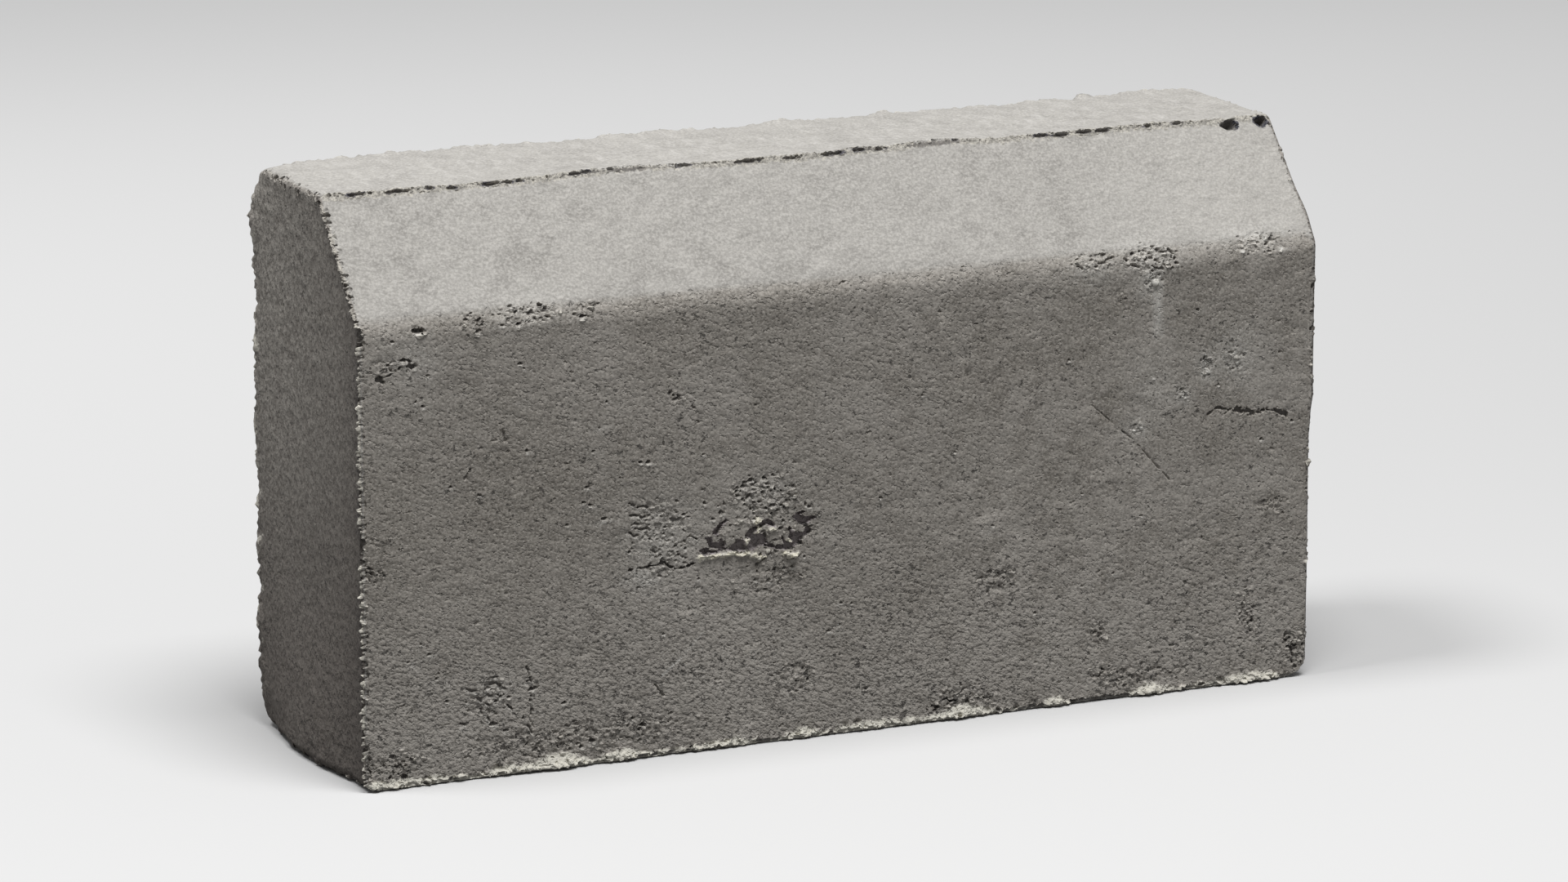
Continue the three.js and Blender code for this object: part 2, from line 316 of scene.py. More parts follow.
# %% Scatter grains along an edge
def crumbling_edge(seed, start, end, outward, pitch, radii, heights, stray=0.5, nicks=0.6):
    """Crumbs in a broken row from one point to another, with nicks between them."""
    dice = random.Random(seed)
    start, end, outward = Vector(start), Vector(end), Vector(outward).normalized()
    count = int((end - start).length / pitch)
    for i in range(count):
        place = start.lerp(end, (i + dice.uniform(0, 1)) / count)
        swell = 1 + 0.7 * noise.noise(place / 13)
        radius = dice.uniform(*radii) * swell
        if dice.random() < nicks:
            hole(place, outward, 0.8 * radius, radius * dice.uniform(0.3, 0.8), dice.uniform(0.8, 1.5))
        place += Vector([dice.uniform(-stray, stray) for _ in range(3)])
        crumb(place, outward, radius, radius * dice.uniform(*heights), dice.uniform(0.8, 1.3))


# %% List the edges that crumble
EDGES = [  # start, end and outward direction, then pitch, radii, heights, stray and share of nicks
    (  # the left edge of the top
        (LEFT + 1.3, UPPER_ARRIS, TOP - 1.3), (LEFT + 1.5, BACK - 4, TOP - 1.5), (-1, 0, 1),
        1.0, (0.6, 1.5), (0.4, 1.0), 1.6, 0.75,
    ),
    (  # the back edge of the left end
        (LEFT + 1.8, BACK - 1.8, 16), (LEFT + 1.8, BACK - 1.8, TOP - 8), (-1, 1, 0),
        2.2, (0.9, 2.2), (0.4, 0.9), 1.4, 0.15,
    ),
    (  # the right edge of the front
        (RIGHT - 0.9, FRONT + 0.9, 10), (RIGHT - 0.9, FRONT + 0.9, LOWER_ARRIS), (1, -1, 0),
        1.3, (0.5, 1.4), (0.5, 1.1), 0.8, 0.45,
    ),
    (  # the right edge of the splay
        (RIGHT - 1.2, FRONT + 3, LOWER_ARRIS + 3), (RIGHT - 1.2, UPPER_ARRIS, TOP - 1.2), (1, -0.5, 0.5),
        1.6, (0.5, 1.3), (0.4, 0.9), 0.8, 0.35,
    ),
    (  # the right edge of the top
        (RIGHT - 1.2, UPPER_ARRIS, TOP - 1.2), (RIGHT - 1.2, BACK - 5, TOP - 1.2), (1, 0, 1),
        2.0, (0.5, 1.3), (0.3, 0.6), 1.0, 0.2,
    ),
    (  # the back edge of the right end
        (RIGHT - 2, BACK - 2, 16), (RIGHT - 2, BACK - 2, TOP - 8), (1, 1, 0),
        4, (1, 2), (0.15, 0.35), 1, 0.1,
    ),
    (  # the upper arris
        (LEFT + 3, UPPER_ARRIS - 0.5, TOP - 0.5), (RIGHT - 4, UPPER_ARRIS - 0.5, TOP - 0.5), (0, -0.8, 0.5),
        1.0, (0.4, 0.9), (0.3, 0.9), 0.45, 0.4,
    ),
    (  # the foot of the left end
        (LEFT + 1.5, FRONT + 4, 1.5), (LEFT + 1.5, BACK - 14, 1.5), (-1, 0, -0.3),
        3, (0.8, 2.2), (0.2, 0.5), 0.8, 0.5,
    ),
    (  # the foot of the back
        (LEFT + 8, BACK - 3.8, 3.8), (RIGHT - 14, BACK - 3.8, 3.8), (0, 1, -1),
        6, (1, 2), (0.1, 0.3), 2, 0.1,
    ),
    (  # the back edge of the top
        (LEFT + 8, BACK - 6.5, TOP - 0.3), (RIGHT - 7, BACK - 6.5, TOP - 0.3), (0, 0.2, 1),
        1.6, (0.6, 1.4), (0.35, 0.8), 1.6, 0.2,
    ),
]
for seed, edge in enumerate(EDGES):
    crumbling_edge(seed, *edge)
report("the long edges")

# %% Break the front edge of the left end
def bitten_edge(dice, start, end, outward, pitch, radii):
    """Small steep bites out of one side of an edge."""
    start, end, outward = Vector(start), Vector(end), Vector(outward).normalized()
    count = int((end - start).length / pitch)
    for i in range(count):
        place = start.lerp(end, (i + dice.uniform(0, 1)) / count)
        radius = dice.uniform(*radii) * (1 + 0.6 * noise.noise(place / 9))
        hole(place, outward, radius, radius * dice.uniform(1, 1.8), dice.uniform(0.6, 1.2))


def overhanging_grains(dice, low, high, pitch, radii, gaps):
    """Grains of mortar that hang over the left end along its front edge, with gaps between them."""
    for i in range(int((high - low) / pitch)):
        above = low + (i + dice.random()) * pitch
        place, outward = place_on_front(dice.uniform(0.3, 1.4), above)
        sideways = (Vector((-1, 0, 0)) + outward * dice.uniform(0.3, 0.9)).normalized()
        radius = dice.uniform(*radii) * (1 + 0.4 * noise.noise((above / 11, 2.2, 0)))
        if dice.random() > gaps:
            crumb(place, sideways, radius, radius * dice.uniform(0.8, 1.3))
        else:
            hole(place, sideways, 0.8 * radius, radius * dice.uniform(0.8, 1.4), dice.uniform(0.5, 1))


overhanging_grains(random.Random(31), 4, LOWER_ARRIS, 0.95, (0.5, 1.15), 0.3)
overhanging_grains(random.Random(32), LOWER_ARRIS, TOP - 5, 1.0, (0.6, 1.3), 0.12)
bitten_edge(
    random.Random(21),
    (LEFT, FRONT + 4, LOWER_ARRIS + 1),
    (LEFT, UPPER_ARRIS + 1, TOP - 2),
    (-1, 0.2, -0.2),
    3.0,
    (0.5, 1.1),
)
bitten_edge(
    random.Random(22),
    (LEFT, FRONT + 1.7, 3),
    (LEFT, FRONT + 1.7, LOWER_ARRIS),
    (-1, 0.3, 0),
    1.5,
    (0.7, 1.5),
)
report("the front edge of the left end")

# %% [markdown]
# ## The lip of grout at the foot
#
# Wet grout runs out under the side plate of the mould and sets as a thin ragged lip, wider in some
# places than in others. It could be a strip of its own, but then a seam would show where it joins the
# block. Here its reach is a sum of listed swells and some noise, grains are scattered over it now, and
# the skin itself is pulled out to it later.

# %% Measure how far the lip stands out
LIP_SWELLS = [  # middle from left, half length, how much further it stands out
    (9, 12, 2.2),
    (30, 14, 1.3),
    (64, 9, 2.2),
    (89, 13, 4.2),
    (119, 9, 3.2),
    (141, 9, 0.9),
    (169, 12, 1.9),
    (205, 6, 3.0),
    (240, 21, 2.3),
    (282, 13, 3.4),
    (328, 5, 2.6),
    (376, 9, 3.0),
    (402, 9, 0.8),
    (428, 12, 2.8),
]
WIDEST_LIP = 4.6
NARROWEST_LIP = 0.1
ABOVE_THE_LIP = 9  # no part of the lip climbs this high


def lip_reach(from_left):
    """How far the flash at the base stands out there."""
    off = [((from_left - middle) / half, extra) for middle, half, extra in LIP_SWELLS]
    swell = sum(extra * math.exp(-(away**2)) for away, extra in off)
    return min(WIDEST_LIP, max(NARROWEST_LIP, 0.5 + swell + 0.9 * noise.noise((from_left / 6, 3.7, 0))))


def lip_rise(from_left):
    """How high up the front the flash reaches."""
    return 1.2 + 1.25 * lip_reach(from_left)


print("the lip stands out by", [round(lip_reach(x), 1) for x in range(50, 500, 100)], "mm")

# %% Scatter grains over the lip
def lip_grains(dice, pitch):
    for i in range(int((LENGTH - 10) / pitch)):
        from_left = 1 + (i + dice.random()) * pitch
        reach = lip_reach(from_left)
        forward = reach * dice.uniform(0.2, 1)
        above = dice.uniform(0.6, 1.2 + 1.4 * reach)
        place = Vector((LEFT + from_left, FRONT - forward, above))
        outward = Vector((dice.uniform(-0.3, 0.3), -1, dice.uniform(-0.1, 0.9))).normalized()
        if dice.random() < 0.6:
            crumb(place, outward, dice.uniform(0.6, 1.7), dice.uniform(0.4, 1.1), dice.uniform(0.8, 1.8))
        elif dice.random() * reach < 1:
            hole(place, outward, dice.uniform(0.4, 1.0), dice.uniform(0.6, 1.4), dice.uniform(0.8, 1.8))


def bites_under_the_lip(dice, count):
    for _ in range(count):
        from_left = dice.uniform(2, LENGTH - 6)
        place = Vector((LEFT + from_left, FRONT - lip_reach(from_left), dice.uniform(0, 0.5)))
        radius = dice.uniform(0.7, 1.6)
        hole(place, FORWARD, radius, radius * dice.uniform(0.8, 1.5), dice.uniform(1, 2.6))


lip_grains(random.Random(1), 0.9)
bites_under_the_lip(random.Random(11), 240)
report("the lip")

# %% [markdown]
# ## Pits and pale chips
#
# A pit is left where a single grain has fallen out. Scattering them all would be quick, but the eye
# knows the larger ones by their places, so these stand in a list. Each has a small raised rim at its
# foot, which catches the light. A chip is the reverse: a grain that was cut and shows its pale inside.

# %% Press in the larger pits
PITS = [  # from left, above base, radius, stretch along the face
    (19.5, 185.7, 1.3, 2.6), (26.5, 197.4, 1.6, 2.2), (24.3, 182.6, 1.1, 1.8), (13.9, 181.6, 0.8, 1.2),
    (30.4, 178.1, 0.9, 1.3), (24.7, 167.4, 1.0, 1.0), (28.2, 165.1, 1.0, 1.5), (72.2, 179.5, 1.0, 2.2),
    (74.3, 177.3, 0.8, 1.2), (70, 163.1, 0.7, 1.2), (40.2, 129.1, 1.2, 1.2), (53.4, 124.2, 0.9, 1.7),
    (75.4, 141.3, 1.1, 1.1), (105.7, 138.3, 1.0, 1.2), (102.8, 122.8, 1.1, 1.8),
    (101.3, 116.2, 1.0, 1.4), (112.3, 159.1, 0.8, 1.2), (108.7, 148.1, 0.8, 1.4), (14.8, 194, 1.0, 1.6),
    (53.5, 194.8, 1.3, 1.2), (64.7, 196.7, 1.0, 1.4), (72.1, 196.7, 1.4, 1.3), (101.2, 197.2, 1.3, 1.6),
    (104.2, 114.8, 1.1, 1.4), (110.5, 108.1, 1.2, 1.8), (93.4, 107.1, 0.9, 1.5),
    (129.1, 111.6, 1.0, 1.7), (126.2, 107.8, 1.0, 1.4), (127.8, 131.2, 0.9, 1.6),
    (131.4, 130.9, 1.2, 1.6), (157.3, 131.7, 0.8, 2.0), (157.9, 110, 1.0, 1.0), (166.6, 105, 0.8, 1.0),
    (176.1, 115.6, 1.3, 1.6), (179.7, 118, 1.3, 1.8), (173.9, 111.8, 1.0, 1.5), (179, 111.3, 1.1, 1.4),
    (190.6, 106, 1.2, 1.6), (196.5, 113.6, 0.9, 1.2), (207.5, 103.6, 1.1, 1.5), (214.8, 91.2, 0.8, 1.0),
    (187.7, 72.1, 0.8, 1.6), (181.8, 73.4, 0.9, 1.3), (154.9, 77, 1.0, 1.0), (138.2, 54.3, 0.9, 1.4),
    (223, 58.7, 0.8, 1.4), (217.1, 46.9, 1.0, 1.8), (222.3, 49.1, 0.8, 1.3), (76.6, 36.6, 1.4, 1.5),
    (76, 31.6, 1.1, 0.8), (74.3, 46.5, 0.8, 0.7), (29.3, 57.2, 1.0, 1.6), (25.8, 62, 0.8, 1.4),
    (19.9, 54.8, 0.9, 1.2), (32.6, 46.1, 1.0, 1.4), (37.2, 35.5, 1.0, 1.6), (91.4, 28.7, 1.1, 1.9),
    (76.2, 33.6, 0.8, 0.9), (104.3, 10.1, 1.5, 1.6), (99.5, 8.4, 1.1, 1.4), (123.6, 18.1, 1.2, 1.5),
    (128.4, 14.7, 1.2, 1.6), (228, 58, 0.9, 1.3), (242, 104, 0.8, 1.6), (262, 148, 0.9, 1.2),
    (278, 121, 0.8, 1.5), (297, 86, 0.9, 1.6), (318, 44, 1.0, 1.5), (334, 157, 0.8, 1.4),
    (341, 96, 0.9, 1.3), (357, 58, 1.0, 1.5), (371, 83, 0.9, 1.6), (398, 174, 0.9, 1.3),
    (409, 139, 0.8, 1.5), (431, 112, 1.0, 1.4), (440, 151, 0.8, 1.3), (447, 119, 1.1, 1.2),
    (173.3, 115.6, 1.2, 1.0), (174.9, 113.7, 0.8, 1.3), (177.2, 117.4, 1.0, 2.4),
    (179.9, 118.6, 0.9, 2.0), (178, 110.4, 1.2, 0.7), (176.8, 109.1, 0.7, 1.6),
    (173.3, 111.3, 0.7, 1.3), (165.2, 105.2, 1.2, 0.5), (161.7, 102.7, 0.9, 1.8),
    (189.6, 106, 1.2, 1.7), (186.9, 104.8, 0.9, 1.4), (192.8, 107.9, 0.7, 2.0),
    (194.3, 105.5, 0.9, 1.8), (205.7, 104.7, 1.0, 0.5), (207.6, 103.4, 0.6, 1.5),
    (193.9, 100.1, 0.8, 1.0), (195.1, 98.5, 1.0, 0.8), (198.2, 98.6, 0.7, 1.0),
    (181.1, 100.7, 0.9, 1.8), (183, 101.6, 0.7, 1.3), (157.5, 110.4, 1.0, 0.7),
    (167.1, 108.7, 0.9, 0.7), (164.4, 108.2, 0.7, 2.0), (184.2, 84.7, 1.1, 0.8),
    (188.9, 84.6, 1.1, 0.6), (198.6, 83.9, 0.8, 0.8), (199.4, 81.3, 0.8, 1.5), (203.3, 82.7, 0.7, 1.4),
    (205.3, 81.4, 0.9, 0.8), (199.4, 77.6, 0.9, 1.4), (170.2, 86.6, 0.6, 1.3), (212.3, 99.7, 0.7, 1.0),
    (211.5, 95.7, 0.7, 1.0), (156.7, 116.2, 0.7, 1.0), (153.6, 107.5, 0.6, 1.2),
    (338.1, 201.3, 1.1, 1.2), (347.2, 197.8, 1.1, 1.5), (351.8, 202.5, 1.0, 1.2),
    (344.9, 200.5, 0.8, 1.5), (365.8, 201.7, 1.4, 1.2), (362.6, 199, 1.1, 1.3),
    (369.5, 202.5, 0.9, 1.4), (372.2, 198.8, 1.3, 0.9), (386.2, 198.1, 1.3, 0.8),
    (387.2, 196.1, 1.0, 1.4), (384.9, 194, 0.9, 1.0), (375, 193.5, 0.9, 1.0), (378.6, 191.5, 0.9, 0.8),
    (375.3, 190.1, 0.8, 0.7), (131.9, 107.3, 1.0, 1.3), (136.6, 108.5, 0.8, 1.0),
    (137.5, 106.3, 0.8, 1.3), (144.7, 107.3, 0.9, 1.4), (148, 106.2, 1.0, 1.5), (150.2, 105, 0.8, 1.6),
    (130.5, 105.2, 0.8, 1.4), (131.6, 103.3, 0.8, 1.2), (134.9, 102.5, 0.8, 0.8),
    (139.2, 101.4, 0.9, 1.2), (134.2, 99, 0.8, 1.0), (138.6, 98.6, 1.1, 1.1), (148.1, 99.1, 0.9, 1.2),
    (132.5, 96.6, 0.9, 1.3), (124, 95.8, 0.9, 0.7), (147, 92.5, 0.9, 1.2), (148.6, 90.9, 0.9, 1.4),
    (145, 89.9, 0.8, 1.3), (122.4, 92.1, 1.1, 1.2), (137, 89.3, 0.8, 1.4), (134.9, 88.8, 0.8, 1.2),
    (137.7, 87.9, 0.8, 1.8), (140.8, 86.5, 0.8, 1.0), (144.3, 86, 0.9, 1.2), (132.4, 86, 1.1, 1.1),
    (137.8, 85.4, 1.6, 1.3), (66.5, 39.5, 0.7, 1.0), (57, 35.5, 0.8, 1.2), (66, 34.3, 1.1, 1.4),
    (53.2, 30.4, 1.0, 1.5), (46.4, 34.1, 0.8, 1.1), (76.5, 27.5, 1.1, 0.8), (72.5, 24, 0.9, 0.6),
    (76.3, 36.8, 1.5, 1.0), (75.5, 45.2, 0.9, 0.7), (75.8, 41.8, 0.8, 0.7),
]
for from_left, above, radius, stretch in PITS:
    place, outward = place_on_front(from_left, above)
    hole(place, outward, 0.72 * radius, 1.3 * radius, stretch)
    rim, outward = place_on_front(from_left + 0.2 * radius, above - 1.05 * radius)
    crumb(rim, upturned(outward, 0.7), 0.75 * radius, 0.35 * radius, stretch)
report("the pits")

# %% Add the pale chips
CHIPS = [  # from left, above base, radius
    (403.7, 145.7, 1.3), (402.4, 152.6, 0.8), (392.2, 135.0, 1.2), (418.6, 147.8, 1.1), (417.0, 152.9, 0.9),
    (370.1, 123.0, 1.2), (367.0, 122.2, 0.8), (376.8, 188.4, 1.8), (376.2, 144.8, 0.8), (440.0, 197.6, 1.2),
    (420.6, 198.5, 1.0), (432.9, 202.7, 1.2),
]
for from_left, above, radius in CHIPS:
    place, outward = place_on_front(from_left, above)
    crumb(place, upturned(outward, 0.5), radius, 0.45 * radius, 1.2)
report("the chips")

# %% [markdown]
# ## Pinholes
#
# Bubbles of air burst at the wall of the mould and leave pinholes. There are hundreds, too small to
# know by their places, so they are scattered. They come in loose groups, which a slow noise decides.

# %% Scatter pinholes
PINHOLE_TRIES = 1500


def pinholes(dice, tries, density):
    """Small holes over the front, in loose groups and more of them near the base."""
    for _ in range(tries):
        from_left, above = dice.uniform(3, LENGTH - 4), dice.uniform(6, TOP - 2)
        crowd = noise.noise((from_left / 32, above / 24, 8.3)) + 0.3 * (1 - above / LOWER_ARRIS)
        if dice.random() > density + 0.8 * crowd or above > LOWER_ARRIS + 4:
            continue
        place, outward = place_on_front(from_left, above)
        radius = 0.35 + 0.4 * dice.random() ** 2
        for _ in range(dice.choice((1, 1, 2, 3))):
            nearby = place + Vector((dice.uniform(-1, 1), 0, dice.uniform(-0.6, 0.6))) * radius * 1.3
            wide, deep = radius * dice.uniform(0.7, 1), radius * dice.uniform(0.7, 1.4)
            hole(nearby, outward, wide, deep, dice.uniform(0.9, 2.1))


pinholes(random.Random(5), PINHOLE_TRIES, 0.14)
report("the pinholes")

# %% [markdown]
# ## Gaps along the seam
#
# Where the splay meets the top, two plates of the mould met too, and the grout between them has broken
# away in places. What is left is a row of short gaps, with two larger ones at its right end. A gap is a
# hole that is longer than it is high. The places are kept, because the shader paints the inside of each
# gap near black, as painted shade.

# %% Open the gaps of the seam
SEAM_GAPS = [  # from left, length, height
    (14, 4, 1.4), (18, 3, 1.0), (31, 4, 1.3), (35, 4, 1.6), (39, 3, 1.2), (50, 3, 1.3), (60, 4, 1.4),
    (77, 7, 1.6), (86, 4, 1.2), (91, 3, 1.2), (117, 5, 1.2), (122, 3, 1.0), (134, 3, 0.9),
    (168, 6, 1.3), (194, 4, 1.2), (199, 5, 1.4), (204, 3, 1.1), (219, 8, 1.4), (236, 4, 1.3),
    (241, 6, 1.5), (252, 6, 1.4), (262, 4, 1.3), (300, 3, 0.9), (341, 6, 1.4), (351, 7, 1.6),
    (363, 6, 1.4), (373, 8, 1.6), (395, 3, 1.2), (410, 4, 1.3), (436, 9, 4.6), (451.5, 7, 5.0),
]
GAP_HEIGHT = 1.15  # how much higher than listed each gap is cut
# the gaps, kept so that the shader can paint shade inside them
shaded_gaps = []
for from_left, length, height in SEAM_GAPS:
    height *= GAP_HEIGHT
    place, outward = place_on_front(from_left, TOP - 0.2 - 0.42 * height)
    hole(place, outward, height / 2 + 0.2, height, length / height)
    shaded_gaps.append((place, height / 2 + 0.2, length / height))
report("the seam")

# %% [markdown]
# ## Torn patches
#
# The face of the mould has torn the skin off in patches, and the sand below it lies bare. A patch is
# an oval with a share that is torn. It is roughened later, when the skin is fine enough. First its
# bared grains are scattered, closer together in its middle than at its rim.

# %% List the torn patches
TORN_PATCHES = [  # from left, above base, half width, half height, depth, how much of it is torn
    (26, 197.5, 5, 2.6, 3.2, 1.0),
    (14, 183, 11, 5, 1.2, 0.6),
    (52, 199, 8, 4, 1.6, 0.8),
    (76, 200.5, 17, 5, 1.8, 0.8),
    (104, 200, 7, 4, 1.5, 0.7),
    (144, 159, 6, 2.4, 1.6, 1.0),
    (137, 97, 15, 20, 1.0, 0.4),
    (186, 110, 19, 12, 1.8, 0.8),
    (190, 74, 20, 7, 1.0, 0.5),
    (346, 199.5, 12, 5, 1.4, 0.6),
    (374, 199, 14, 7, 1.6, 0.65),
    (375, 189, 5, 6, 1.2, 0.7),
    (361, 184, 5, 5, 1.3, 0.6),
    (430, 201.5, 14, 5, 1.9, 0.75),
    (403, 148.5, 3, 5.5, 1.2, 0.8),
    (418, 150.5, 4, 6, 1.0, 0.8),
    (391.5, 136, 2.5, 3, 1.8, 1.0),
    (368.5, 123, 5, 2.5, 0.9, 0.8),
    (4, 94, 8, 4, 1.8, 0.9),
    (438, 81, 10, 5, 1.2, 0.6),
    (299, 61, 12, 6, 1.2, 0.6),
    (57, 35, 12, 9, 1.2, 0.6),
    (200, 28, 11, 7, 1.2, 0.7),
    (349, 31, 6, 8, 1.3, 0.7),
    (350, 14, 5, 4, 1.4, 0.8),
    (425, 32, 6, 14, 1.8, 0.8),
    (14, 9, 16, 8, 1.8, 0.85),
    (100, 13, 60, 8, 1.2, 0.55),
    (283, 8, 17, 8, 2.0, 0.8),
    (370, 10, 30, 6, 1.0, 0.5),
    (450, 14, 8, 12, 2.2, 0.9),
]
print(len(TORN_PATCHES), "torn patches")

# %% Lay grains bare in the torn patches
SPALL_GRAINS = (184, 93, 26, 9, 1.2, 0.9)


def bared_grains(dice, patch):
    """Sand grains laid bare in a torn patch, with small gaps between them, and fewer near its rim."""
    x, z, half_width, half_height, deep, share_torn = patch
    for _ in range(int(0.5 * half_width * half_height * share_torn)):
        away, turn = dice.random() ** 0.65, dice.uniform(0, 2 * math.pi)
        from_left = min(LENGTH - 2, max(1.5, x + half_width * away * math.cos(turn)))
        above = max(1, z + half_height * away * math.sin(turn))
        place, outward = place_on_front(from_left, above)
        if dice.random() < 0.6:
            radius = dice.uniform(0.5, 1.2)
            height = radius * dice.uniform(0.3, 0.8)
            crumb(place, upturned(outward, 0.7), radius, height, dice.uniform(0.8, 1.6))
        else:
            radius = dice.uniform(0.4, 0.9)
            bottom = min(deep, radius * dice.uniform(0.8, 1.6))
            hole(place, outward, radius, bottom, dice.uniform(0.8, 1.8))


for seed, patch in enumerate(TORN_PATCHES):
    bared_grains(random.Random(seed), patch)
bared_grains(random.Random(77), SPALL_GRAINS)
report("the bared grains")

# %% [markdown]
# ## The spall and the cracks
#
# A spall is where a flat piece of the face has burst off. Its hollows are deep and dark, with steep
# walls and flat bottoms, and pale ledges of broken concrete remain below them. Their outlines matter
# more than their depth, so each hollow is written down as the corners of its outline, and each ledge,
# crack or crevice as a route with a width.

# %% List the hollows and ledges of the spall
SPALL = (183, 94, 34, 14)  # from left, above base, half width, half height
SPALL_CORE = (183, 93, 32, 12)  # the part of it that gets the smallest faces
SPALL_DEPTH = 2.6
HOLLOWS = [  # outlines of the dark hollows, as corners of (from left, above base)
    [(161.7, 98.3), (164.4, 99.9), (167.9, 102.4), (169.1, 101.2), (166.3, 98.9), (164.4, 96.6),
     (164.4, 94.8), (161.7, 95.8)],
    [(158.2, 95.4), (161.3, 94.8), (161.7, 92.5), (164.4, 92.3), (165.9, 93.5), (168.3, 91.1),
     (166.3, 89.1), (162.1, 89.6), (159.7, 91.3)],
    [(154.7, 89.6), (157.4, 90.4), (161.7, 88.9), (165.2, 88.9), (166.7, 88.4), (164.4, 87.5),
     (160.5, 87.2), (157.4, 86.8), (155.9, 88.4)],
    [(164.4, 91.9), (166.7, 90.6), (169, 88.9), (171, 90.5), (173.3, 92.1), (176.4, 92.5),
     (176.8, 90.6), (177.2, 87.6), (175.6, 87.1), (172.1, 87.5), (168.3, 88.2), (164.4, 89)],
    [(176.8, 93.9), (178.4, 95.9), (180.7, 97.1), (183, 97.6), (182.2, 95.5), (181.1, 94.2),
     (183.8, 94.2), (186.5, 93.6), (187.3, 91.3), (188.1, 89.4), (186.1, 88.2), (183.4, 88.5),
     (182.2, 87.1), (179.9, 86.6), (177.6, 88.3), (178, 90.5), (179.1, 92.2), (177.6, 93.1)],
    [(183.4, 98.6), (186.9, 100.1), (188.1, 100.3), (190.8, 98.2), (191.6, 96), (189.3, 96.6),
     (186.9, 97.6), (184.2, 96.7)],
    [(186.1, 88.9), (190, 88.9), (191.6, 87.2), (193.5, 86.3), (192.4, 86.1), (187.7, 87.6)],
    [(199.8, 100.2), (201.4, 101.5), (204.1, 102.3), (206, 101.4), (203.3, 100.6), (205.3, 99.7),
     (207.2, 99.5), (210.7, 99.5), (211.1, 98), (208.8, 97.5), (206.8, 96.2), (204.9, 95.7),
     (202.5, 96.7), (201, 97.9), (199.8, 99.1)],
    [(194.3, 92.1), (196.3, 89.7), (198.2, 88), (199.4, 89), (197.8, 91), (198.6, 93.1),
     (197.1, 94.7), (197.8, 95.7), (199.4, 94.4), (201.7, 92.7), (204.9, 92.1), (205.7, 93.8),
     (207.2, 94.7), (208.8, 93.1), (207.2, 91.4), (205.3, 90.6), (203.7, 89.3), (203.3, 87.8),
     (201.4, 86.9), (200.2, 86), (197.4, 85.5), (193.5, 85.9), (191.6, 87.2), (192, 88.3),
     (195.5, 87.9), (194.7, 90.2)],
]
LEDGES = [  # the bright edges below them, and the bright corners between them
    [(155.5, 85.9), (159, 86.4), (161.7, 86), (165.2, 86.4), (168.3, 86.4), (172.1, 86.5),
     (174.8, 85.3), (177.2, 86.2), (178.7, 85.3), (181.8, 84.6), (183.4, 83), (184.6, 84),
     (186.1, 83.1)],
    [(195.5, 83.5), (197.4, 84.4), (199.4, 83), (202.1, 83.6)],
    [(197.4, 82.7), (201, 82.4)],
    [(197.5, 83.6), (200.5, 83.2)],
    [(176.8, 91), (178.7, 91.9)],
    [(197.8, 89.9), (199.8, 88.2)],
    [(181.9, 94.8), (183.4, 96.1)],
    [(181.5, 99.2), (183.8, 99.7)],
    [(188.9, 95.5), (191.2, 95.3)],
]
print(len(HOLLOWS), "hollows and", len(LEDGES), "ledges")

# %% List the cracks and crevices
CRACKS = [  # route, half width, depth
    ([(403.6, 125.9), (406.2, 127.3)], 0.4, 1.2),
    ([(407.8, 128.4), (410.6, 128.2), (413.2, 127.2)], 0.5, 1.4),
    ([(409.5, 126.2), (411.8, 126.3)], 0.35, 1.1),
    ([(412.8, 125.8), (415.4, 126.9), (418, 126.2)], 0.45, 1.3),
    ([(417, 127.5), (420.4, 126.2), (424.8, 125.2)], 0.6, 1.6),
    ([(424.4, 123.9), (427.2, 124.7), (430.2, 124.6)], 0.5, 1.4),
    ([(429.6, 125.8), (433.8, 125.2), (439.6, 124.2), (444.1, 122.3)], 0.6, 1.6),
    (
        [(122.5, 84.3), (129.7, 84.9), (135.5, 85.2), (139.1, 85.8), (141.2, 83.8), (144.1, 82.3),
         (148.4, 82.8), (153, 84)],
        0.35,
        2.2,
    ),
    ([(8.4, 178.2), (10, 178.7)], 0.7, 1.8),
    ([(10.6, 179.1), (13.9, 180), (15.8, 181.4)], 0.35, 1.3),
    ([(18, 182.8), (22.1, 183.4), (24.3, 182.2)], 0.5, 1.7),
    ([(19, 185.8), (22.4, 185.4)], 0.55, 1.5),
    ([(177.6, 80), (180.7, 80), (183.8, 81.1), (186.1, 82.7)], 0.4, 1.3),
    ([(74.3, 46.5), (75.4, 43.4)], 0.35, 1.2),
    ([(75.9, 41.8), (76.4, 39.6)], 0.35, 1.2),
    ([(76.4, 29), (75.9, 25.6)], 0.3, 1.0),
    ([(75.2, 24), (77.4, 19.4)], 0.12, 0.7),
    ([(359, 124), (366, 118.4), (376, 107.5), (385, 98)], 0.2, 0.9),
    ([(345.4, 135.8), (354.1, 128.3), (359, 124)], 0.12, 0.7),
    ([(134.5, 31.7), (138.1, 26.7)], 0.4, 1.0),
    ([(64.2, 151.7), (65.6, 146.9)], 0.4, 1.0),
    ([(49.4, 135.9), (46.5, 132.2)], 0.4, 1.0),
    ([(266, 7), (271, 6.5), (278, 8)], 0.8, 2.0),
]
